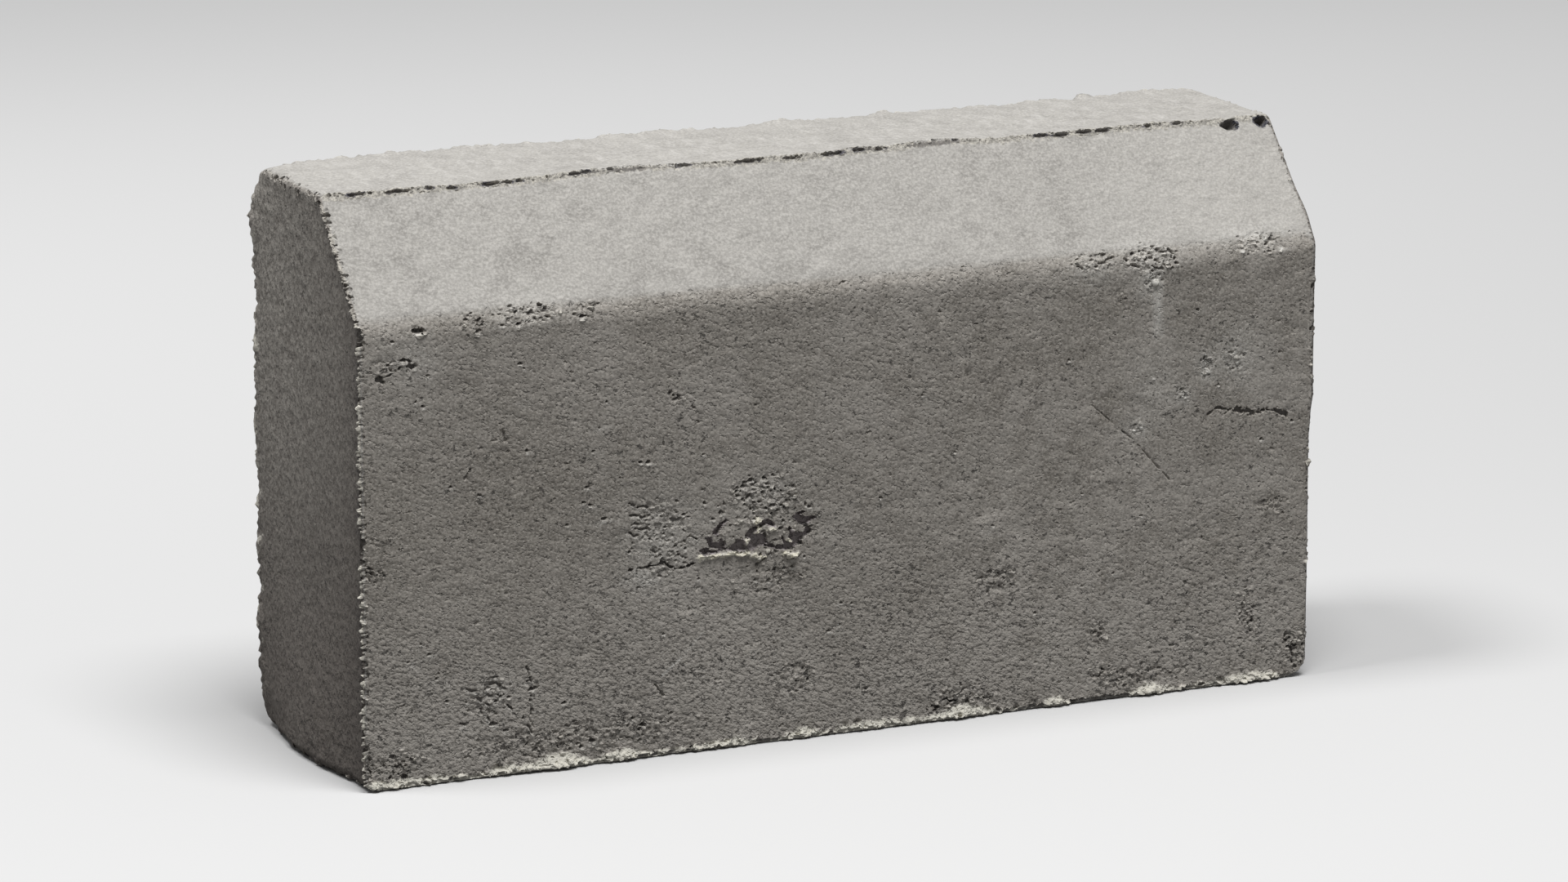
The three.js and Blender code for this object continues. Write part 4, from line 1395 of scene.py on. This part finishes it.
# %% [markdown]
# ## The concrete
#
# Concrete is pale and dark sand in grey paste. It has blotches where the paste is thicker, pores where
# air was trapped, soot on top of that, and chalky lime where water has dried. Scanned pictures could
# show this, but they would repeat or need unwrapping, so every pattern is a noise in the block's own
# coordinates. The finest grain is relief too, through one Bump node at the end.
#
# Nodes are laid out by short calls on a bench, which also keeps the colour so far. Each step covers
# some share of that colour with another tone, from the paste up to the dirt.

# %% A bench for laying out nodes
class Bench:
    """A material's nodes, laid out by short calls, and the colour that they make so far."""

    def __init__(self, name):
        self.material = bpy.data.materials.new(name)
        self.material.use_nodes = True
        self.tree = self.material.node_tree
        self.shader = self.tree.nodes["Principled BSDF"]
        self.object_place = self.tree.nodes.new("ShaderNodeTexCoord").outputs["Object"]

    def link(self, value, socket):
        if isinstance(value, bpy.types.NodeSocket):
            self.tree.links.new(value, socket)
        else:
            socket.default_value = value

    def math(self, operation, a, b=0.0):
        node = self.tree.nodes.new("ShaderNodeMath")
        node.operation = operation
        self.link(a, node.inputs[0])
        self.link(b, node.inputs[1])
        return node.outputs[0]

    def times(self, a, b):
        return self.math("MULTIPLY", a, b)

    def plus(self, a, b):
        return self.math("ADD", a, b)

    def minus(self, a, b):
        return self.math("SUBTRACT", a, b)

    def either(self, a, b):
        return self.math("MAXIMUM", a, b)

    def ramp(self, value, start, end, low=0.0, high=1.0):
        node = self.tree.nodes.new("ShaderNodeMapRange")
        node.interpolation_type = "SMOOTHSTEP"
        names = ("Value", "From Min", "From Max", "To Min", "To Max")
        for name, number in zip(names, (value, start, end, low, high)):
            self.link(number, node.inputs[name])
        return node.outputs["Result"]

    def mix(self, factor, a, b, blend="MIX"):
        node = self.tree.nodes.new("ShaderNodeMix")
        node.data_type = "RGBA"
        node.blend_type = blend
        self.link(factor, node.inputs["Factor"])
        self.link(a, node.inputs["A"])
        self.link(b, node.inputs["B"])
        return node.outputs["Result"]

    def cover(self, share, tone, blend="MIX"):
        """Covers that share of the colour so far with another tone."""
        self.colour = self.mix(share, self.colour, tone, blend)

    def noise(self, size_mm, stretch=(1, 1, 1), detail=2.0, roughness=0.5, lean=0):
        """Noise with lumps of that size, times the stretch along X, Y and Z, turned by the lean about Y."""
        placed = self.tree.nodes.new("ShaderNodeMapping")
        placed.vector_type = "TEXTURE"
        self.link(self.object_place, placed.inputs["Vector"])
        placed.inputs["Scale"].default_value = [size_mm * MM * s for s in stretch]
        placed.inputs["Rotation"].default_value = (0, math.radians(lean), 0)
        node = self.tree.nodes.new("ShaderNodeTexNoise")
        self.link(placed.outputs[0], node.inputs["Vector"])
        node.inputs["Scale"].default_value = 1
        node.inputs["Detail"].default_value = detail
        node.inputs["Roughness"].default_value = roughness
        return node.outputs["Fac"]

    def place_mm(self, axis):
        """The place along X, Y or Z, in millimetres."""
        node = self.tree.nodes.new("ShaderNodeSeparateXYZ")
        self.link(self.object_place, node.inputs[0])
        return self.times(node.outputs[axis], 1 / MM)

    def attribute(self, name):
        node = self.tree.nodes.new("ShaderNodeAttribute")
        node.attribute_name = name
        return node.outputs["Fac"]

    def bump(self, height, distance_mm):
        node = self.tree.nodes.new("ShaderNodeBump")
        node.inputs["Distance"].default_value = distance_mm * MM
        self.link(height, node.inputs["Height"])
        return node.outputs["Normal"]


# %% Name the tones
PASTE = (0.345, 0.332, 0.310, 1)
DARK_PASTE = (0.276, 0.264, 0.246, 1)
PALE_SAND = (0.560, 0.542, 0.507, 1)
DARK_SAND = (0.16, 0.15, 0.135, 1)
SOOTY = (0.2, 0.187, 0.165, 1)
WARMTH = (1, 0.972, 0.945, 1)
LIME_AND_HIGHLIGHT = (0.66, 0.645, 0.605, 1)
PORE_SHADE = (0.06, 0.056, 0.052, 1)

PLASTER_DARK = (0.2, 0.178, 0.16, 1)
PLASTER_PALE = (0.55, 0.52, 0.47, 1)
END_DARKENING = (0.17, 0.15, 0.135, 1)
END_EDGE_SHADE = (0.12, 0.105, 0.095, 1)
TROWELLED_DARK = (0.31, 0.30, 0.28, 1)
TROWELLED_PALE = (0.68, 0.665, 0.64, 1)

RUBBED = (0.76, 0.73, 0.645, 1)
GROUT = (0.66, 0.638, 0.565, 1)
LEDGE = (0.67, 0.635, 0.525, 1)
SEAM_DARK = (0.2, 0.188, 0.165, 1)
SEAM_PALE = (0.45, 0.425, 0.37, 1)
RECESS_SHADE = (0.12, 0.11, 0.104, 1)
HOLLOW_GREY = (0.33, 0.295, 0.295, 1)
SHADE = (0.07, 0.062, 0.06, 1)
GAP_SHADE_DARK = (0.04, 0.042, 0.052, 1)
GAP_SHADE_LIGHT = (0.095, 0.09, 0.1, 1)

# %% Faces and patterns that all steps share
def lay_patterns(bench):
    bench.x = bench.place_mm("X")
    bench.y = bench.place_mm("Y")
    bench.z = bench.place_mm("Z")
    bench.end = bench.ramp(bench.attribute("end"), 0.5, 0.8)
    bench.upright = bench.ramp(bench.attribute("upright"), 0.78, 0.95)
    bench.top = bench.ramp(bench.attribute("top"), 0.85, 0.97)

    bench.speckle = bench.noise(1.2, detail=3, roughness=0.65)
    bench.pore_noise = bench.noise(1.7, stretch=(1.5, 1.5, 1), detail=2, roughness=0.6)
    bench.plaster = bench.noise(2.4, stretch=(1, 1, 1.7), detail=3, roughness=0.6)
    bench.trowelled = bench.noise(4.5, stretch=(1, 2.6, 1), detail=3, roughness=0.6)

    bench.fray = bench.times(bench.minus(bench.speckle, 0.5), 1.6)
    bench.rough_edge = bench.plus(bench.fray, bench.times(bench.minus(bench.pore_noise, 0.5), 4.0))


bench = Bench("sandy grey concrete")
lay_patterns(bench)
print(len(bench.tree.nodes), "nodes for the patterns")

# %% Paste, soot and sand
def lay_paste(bench):
    """Blotches and clouds of paste, with soot on the upright faces and sand in all of it."""
    blotches = bench.noise(13, detail=4, roughness=0.65)
    clouds = bench.noise(42, detail=3)
    bench.colour = bench.mix(bench.ramp(blotches, 0.36, 0.56), DARK_PASTE, PASTE)
    bench.cover(bench.ramp(clouds, 0.36, 0.64, 0.0, 0.6), PASTE)
    bench.cover(bench.times(bench.upright, bench.ramp(bench.z, 130, 15, 0.0, 0.2)), PALE_SAND)

    right_half = bench.ramp(bench.x, -60, 120)
    dull = bench.times(bench.ramp(blotches, 0.52, 0.36), bench.ramp(right_half, 0, 1, 0.14, 0.38))
    cloudy = bench.ramp(clouds, 0.6, 0.4, 0, bench.ramp(bench.z, 40, 130, 0.1, 0.42))
    for soot in (dull, bench.attribute("soot"), cloudy):
        bench.cover(bench.times(soot, bench.upright), SOOTY)

    pale_grains = bench.ramp(bench.speckle, 0.42, 0.64, 0, bench.ramp(bench.upright, 0, 1, 0.42, 0.5))
    bench.cover(pale_grains, PALE_SAND)
    grain_share = bench.ramp(bench.upright, 0, 1, 0.14, 0.35)
    dark_grains = bench.times(bench.ramp(bench.speckle, 0.46, 0.34), grain_share)
    bench.cover(bench.times(dark_grains, bench.ramp(bench.end, 0, 1, 1, 0.1)), DARK_SAND)

    level = bench.either(bench.either(bench.upright, bench.end), bench.top)
    towards_right = bench.ramp(bench.x, 100, 200, 0, 0.2)
    bench.cover(bench.times(towards_right, bench.minus(1.0, level)), PALE_SAND)
    bench.cover(bench.either(bench.upright, bench.end), WARMTH, "MULTIPLY")


lay_paste(bench)
print(len(bench.tree.nodes), "nodes with paste, soot and sand")

# %% [markdown]
# ## Chalk and lime
#
# Water carries lime out of concrete and leaves it as chalky rings round worn spots, and as a few
# straight streaks where something wet has run or rubbed. The rings were painted as an attribute, and
# painted highlights share it: pale spots and lines on the raised rims below pits and crevices. The
# streaks are thinner than the block's faces are wide, so they are drawn in the shader itself, each
# between two places. Both are broken up by the grains of sand that they lie on.

# %% Chalky rings and lime streaks
STREAKS = [  # start and end as (from left, above base), half width, strength
    ((136, 34.6), (147.6, 43.5), 0.9, 0.9),
    ((147, 43), (158, 54), 0.8, 0.4),
    ((378.5, 160), (377, 197), 4.0, 0.5),
    ((378.5, 168), (378, 184), 1.2, 0.6),
]


def stroke(bench, start, end, half_width):
    """1 along a straight mark on the front between two places (from left, above base), 0 beside it."""
    (x0, z0), (x1, z1) = start, end
    length = math.hypot(x1 - x0, z1 - z0)
    x = bench.minus(bench.x, LEFT + x0)
    z = bench.minus(bench.z, z0)
    run, rise = (x1 - x0) / length, (z1 - z0) / length
    along = bench.plus(bench.times(x, run), bench.times(z, rise))
    across = bench.minus(bench.times(x, rise), bench.times(z, run))
    beside = bench.ramp(bench.math("ABSOLUTE", across), half_width, 0.3 * half_width)
    ends = bench.times(bench.ramp(along, 0, 0.2 * length), bench.ramp(along, length, 0.8 * length))
    return bench.times(beside, ends)


def lay_lime_and_highlights(bench):
    # the chalky rings and the painted highlights on the rims share one measure and one pale tone
    chalk_and_highlight = bench.times(bench.attribute("chalk_and_highlight"), bench.ramp(bench.speckle, 0.35, 0.6, 0.2, 0.8))
    bench.cover(chalk_and_highlight, LIME_AND_HIGHLIGHT)
    front_only = bench.times(bench.upright, bench.ramp(bench.y, 0, -10))
    patchy_white = bench.times(front_only, bench.ramp(bench.speckle, 0.35, 0.6, 0.4, 0.9))
    for start, end, half_width, strength in STREAKS:
        mark = bench.times(stroke(bench, start, end, half_width), strength)
        bench.cover(bench.times(mark, patchy_white), LIME_AND_HIGHLIGHT)


lay_lime_and_highlights(bench)
print(len(bench.tree.nodes), "nodes with the chalk")

# %% [markdown]
# ## The plastered end, the trowelled top and the pores
#
# The left end was smeared with paste while it was wet, so its grain is soft and stands upright. Its
# colour is darker low down, and darker towards the front, where that darkening is painted shade. The top
# was struck off with a trowel and shows long pale strokes. Pores are small holes, seen on the upright
# faces only, and more of them in what is torn. Geometry for each pore would take millions of faces, and
# at this size a dark spot of painted shade with a dent of relief looks the same.

# %% Plaster, trowel strokes and pores
def lay_plaster_and_strokes(bench):
    end_marks = [
        (bench.ramp(bench.plaster, 0.52, 0.36, 0, 0.44), PLASTER_DARK),
        (bench.ramp(bench.plaster, 0.5, 0.66, 0, 0.4), PLASTER_PALE),
        # darker towards the bottom, and towards the front edge, where the darkening is painted shade
        (bench.ramp(bench.z, 190, 15, 0.0, 0.8), END_DARKENING),
        (bench.ramp(bench.y, 45, -60, 0, 0.42), END_DARKENING),
        (bench.ramp(bench.y, -32, -60, 0, 0.3), END_EDGE_SHADE),
    ]
    top_marks = [
        (bench.ramp(bench.trowelled, 0.56, 0.36, 0, 0.18), TROWELLED_DARK),
        (bench.ramp(bench.trowelled, 0.5, 0.7, 0.05, 0.2), TROWELLED_PALE),
    ]
    for face, marks in ((bench.end, end_marks), (bench.top, top_marks)):
        for share, tone in marks:
            bench.cover(bench.times(face, share), tone)


def lay_pores(bench):
    level = bench.ramp(bench.z, 100, 20, 0.335, 0.37)
    level = bench.plus(level, bench.ramp(bench.noise(26, detail=2), 0.3, 0.7, -0.03, 0.03))
    level = bench.plus(level, bench.times(bench.attribute("torn"), 0.06))
    level = bench.plus(level, bench.times(bench.end, 0.025))
    pores = bench.ramp(bench.minus(bench.pore_noise, level), 0.0, -0.03)
    bench.pores = bench.times(pores, bench.either(bench.upright, bench.times(bench.end, 0.7)))
    # painted shade: the pores are painted dark, as the shadow inside each hole
    bench.cover(bench.times(bench.pores, 0.75), PORE_SHADE)


lay_plaster_and_strokes(bench)
lay_pores(bench)
print(len(bench.tree.nodes), "nodes with plaster, strokes and pores")

# %% [markdown]
# ## What wear and grout change
# Grains that stand out are rubbed pale. What lies deep, the inside of the seam's gaps and the strip
# behind the fin are painted dark, as shade. The lip, the ledges and the chips show fresh concrete, and
# the seam is gritty. Plain masks would give each of them a clean outline like a sticker's, so two
# noises, a fine and a coarse one, fray every outline.

# %% Worn grains, grout and seam, and painted shade in recesses and in the seam's gaps
def lay_wear_and_recess_shade(bench):
    frayed_height = bench.plus(bench.attribute("wear"), bench.fray)
    rubbed = bench.ramp(frayed_height, 0.35, 0.85, 0, bench.ramp(bench.z, 196, 208, 0.75, 0.3))
    bench.cover(rubbed, RUBBED)

    def frayed(name):
        return bench.plus(bench.attribute(name), bench.rough_edge)

    duller = bench.ramp(bench.x, 40, 160, 0.8, 0.58)
    bench.cover(bench.ramp(frayed("grout"), 0.0, 0.8, 0, duller), GROUT)
    bench.cover(bench.ramp(frayed("pale"), 0.1, 0.6, 0, 0.85), LEDGE)
    bench.cover(bench.ramp(frayed("chip"), 0.0, 0.6, 0, 0.7), LIME_AND_HIGHLIGHT)
    gritty = bench.mix(bench.ramp(bench.speckle, 0.42, 0.58), SEAM_DARK, SEAM_PALE)
    bench.cover(bench.ramp(frayed("seam"), -0.1, 0.5, 0, 0.65), gritty)
    # painted shade: what lies deeper than about half a millimetre below the clean block is painted dark
    bench.cover(bench.ramp(frayed_height, -0.5, -1.3, 0, 0.75), RECESS_SHADE)


def lay_hollows_and_painted_shade(bench):
    hollow = bench.plus(bench.attribute("hollow"), bench.fray)
    bench.cover(bench.ramp(hollow, -0.2, 0.15, 0, 0.9), HOLLOW_GREY)
    patchy_shade = bench.ramp(bench.pore_noise, 0.35, 0.55, 0.95, 0.5)
    bench.cover(bench.times(bench.attribute("shade"), patchy_shade), SHADE)
    # painted shade: the inside of each gap of the seam is painted near black, in place of its shadow
    stone = bench.plus(bench.attribute("stone"), bench.times(bench.rough_edge, 0.8))
    gap_shade_tone = bench.mix(bench.ramp(bench.pore_noise, 0.4, 0.6), GAP_SHADE_DARK, GAP_SHADE_LIGHT)
    bench.cover(bench.ramp(stone, 0.0, 0.3), gap_shade_tone)


lay_wear_and_recess_shade(bench)
lay_hollows_and_painted_shade(bench)
bench.link(bench.colour, bench.shader.inputs["Base Color"])
bench.shader.inputs["Roughness"].default_value = 0.95
bench.shader.inputs["Specular IOR Level"].default_value = 0.3
print(len(bench.tree.nodes), "nodes with wear, grout and stones")

# %% [markdown]
# ## The finest relief
#
# Sand grains and small dents are too fine for the mesh, so they bend the light only, through one Bump
# node. Each face has its own: sandy and dented on the front, and more so near its foot, plastered on
# the end and stroked on the top. A second Bump node in a row would be slower and hard to balance, so
# all heights are added up first, in millimetres.

# %% Relief below the size of the mesh
RELIEF_MM = 1.0


def lay_relief(bench):
    sand = bench.minus(bench.noise(1.9, stretch=(1.3, 1, 1), detail=2, roughness=0.62, lean=25), 0.5)
    calm = bench.ramp(bench.x, 20, 150, 1.0, 0.65)
    on_front = bench.times(calm, bench.ramp(bench.z, 110, 15, 0.35, 1.1))
    elsewhere = bench.ramp(bench.end, 0, 1, 0.4, 0.3)
    relief = bench.times(sand, bench.ramp(bench.upright, 0, 1, elsewhere, on_front))

    deepest = bench.times(calm, bench.ramp(bench.z, 110, 15, 0.35, 0.85))
    dents = bench.ramp(sand, -0.03, -0.24, 0, bench.times(bench.upright, deepest))
    relief = bench.minus(relief, dents)
    heights = [
        (bench.noise(7.0, detail=2), bench.ramp(bench.top, 0, 1, 1.0, 1.3)),
        (bench.plaster, bench.times(bench.end, 1.6)),
        (bench.trowelled, bench.times(bench.top, 0.7)),
    ]
    for pattern, strength in heights:
        relief = bench.plus(relief, bench.times(bench.minus(pattern, 0.5), strength))
    relief = bench.minus(relief, bench.times(bench.pores, 1.2))
    bench.link(bench.bump(relief, RELIEF_MM), bench.shader.inputs["Normal"])


lay_relief(bench)
print(len(bench.tree.nodes), "nodes in all")

# %% Put the concrete on the block
kerb.data.materials.clear()
kerb.data.materials.append(bench.material)
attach(kerb, "root")
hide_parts("kerb_stone")
print(kerb.name, "is made of", bench.material.name)

# %% [markdown]
# ## The floor
#
# The block stands on a pale floor that runs on as the backdrop. A white floor would throw light back at
# the block and grey out its shadow sides. So the camera sees it pale, a little paler further back,
# while all other rays meet a dark grey.

# %% Lay the floor
FLOOR_SIZE = 40
FLOOR_BELOW = 0.0005  # metres under the block, so that the two never flicker
FLOOR_UNSEEN = (0.16, 0.16, 0.16, 1)


def plain_floor():
    bpy.ops.object.select_all(action="DESELECT")
    bpy.ops.mesh.primitive_plane_add(size=FLOOR_SIZE, location=(0, 0, -FLOOR_BELOW))
    floor = bpy.context.object
    floor.name = "floor"
    pale = Bench("pale floor")
    pale.shader.inputs["Roughness"].default_value = 1
    seen = pale.ramp(pale.place_mm("Y"), 100, 1600, 0.62, 0.82)
    by_camera = pale.tree.nodes.new("ShaderNodeLightPath").outputs["Is Camera Ray"]
    pale.link(pale.mix(by_camera, FLOOR_UNSEEN, seen), pale.shader.inputs["Base Color"])
    floor.data.materials.append(pale.material)


plain_floor()
print("floor laid,", FLOOR_SIZE, "m wide")

# %% [markdown]
# ## The light
#
# Rough concrete shows its grain only when light grazes it. One broad lamp high above lights the top and
# rakes down the front, and a smaller one further left does the same for the splay and the end. A dim
# white world keeps the shadows open. Both lamps are discs, which give soft round-edged shadows.

# %% Hang the lamps
BLOCK_MIDDLE = Vector((0, 0, 0.15))
WORLD_STRENGTH = 0.22


def lamp(name, place, size, power):
    bpy.ops.object.light_add(type="AREA", location=place)
    light = bpy.context.object
    light.name = name
    light.data.shape = "DISK"
    light.data.size = size
    light.data.energy = power
    light.rotation_euler = (BLOCK_MIDDLE - Vector(place)).to_track_quat("-Z", "Y").to_euler()


lamp("overhead", (0, -1.0, 3.2), 1.6, 95)
lamp("left", (-1.2, 0.1, 3.0), 0.9, 42)
world = bpy.data.worlds.new("studio")
bpy.context.scene.world = world
world.use_nodes = True
background = world.node_tree.nodes["Background"]
background.inputs["Color"].default_value = (1, 1, 1, 1)
background.inputs["Strength"].default_value = WORLD_STRENGTH
print("two lamps and a world of strength", WORLD_STRENGTH)

# %% [markdown]
# ## The camera
#
# The camera stands left of the block and a little above it, so that the front, the splay, the top and
# the left end all show. A long lens from far away keeps the block's edges nearly parallel.

# %% Set up the camera
DOWNWARDS = 12.975  # degrees
TO_THE_RIGHT = 24.966
LENS = 148.52
camera_data = bpy.data.cameras.new("camera")
camera = bpy.data.objects.new("camera", camera_data)
bpy.context.collection.objects.link(camera)
camera.location = (-1.1826, -2.5317, 0.7616)
camera.rotation_euler = (math.radians(90 - DOWNWARDS), 0, math.radians(-TO_THE_RIGHT))
camera_data.lens = LENS
camera_data.sensor_width = 36
bpy.context.scene.camera = camera
bpy.context.scene.view_settings.view_transform = "Standard"
print("camera", round((camera.location - BLOCK_MIDDLE).length, 2), "m from the block")
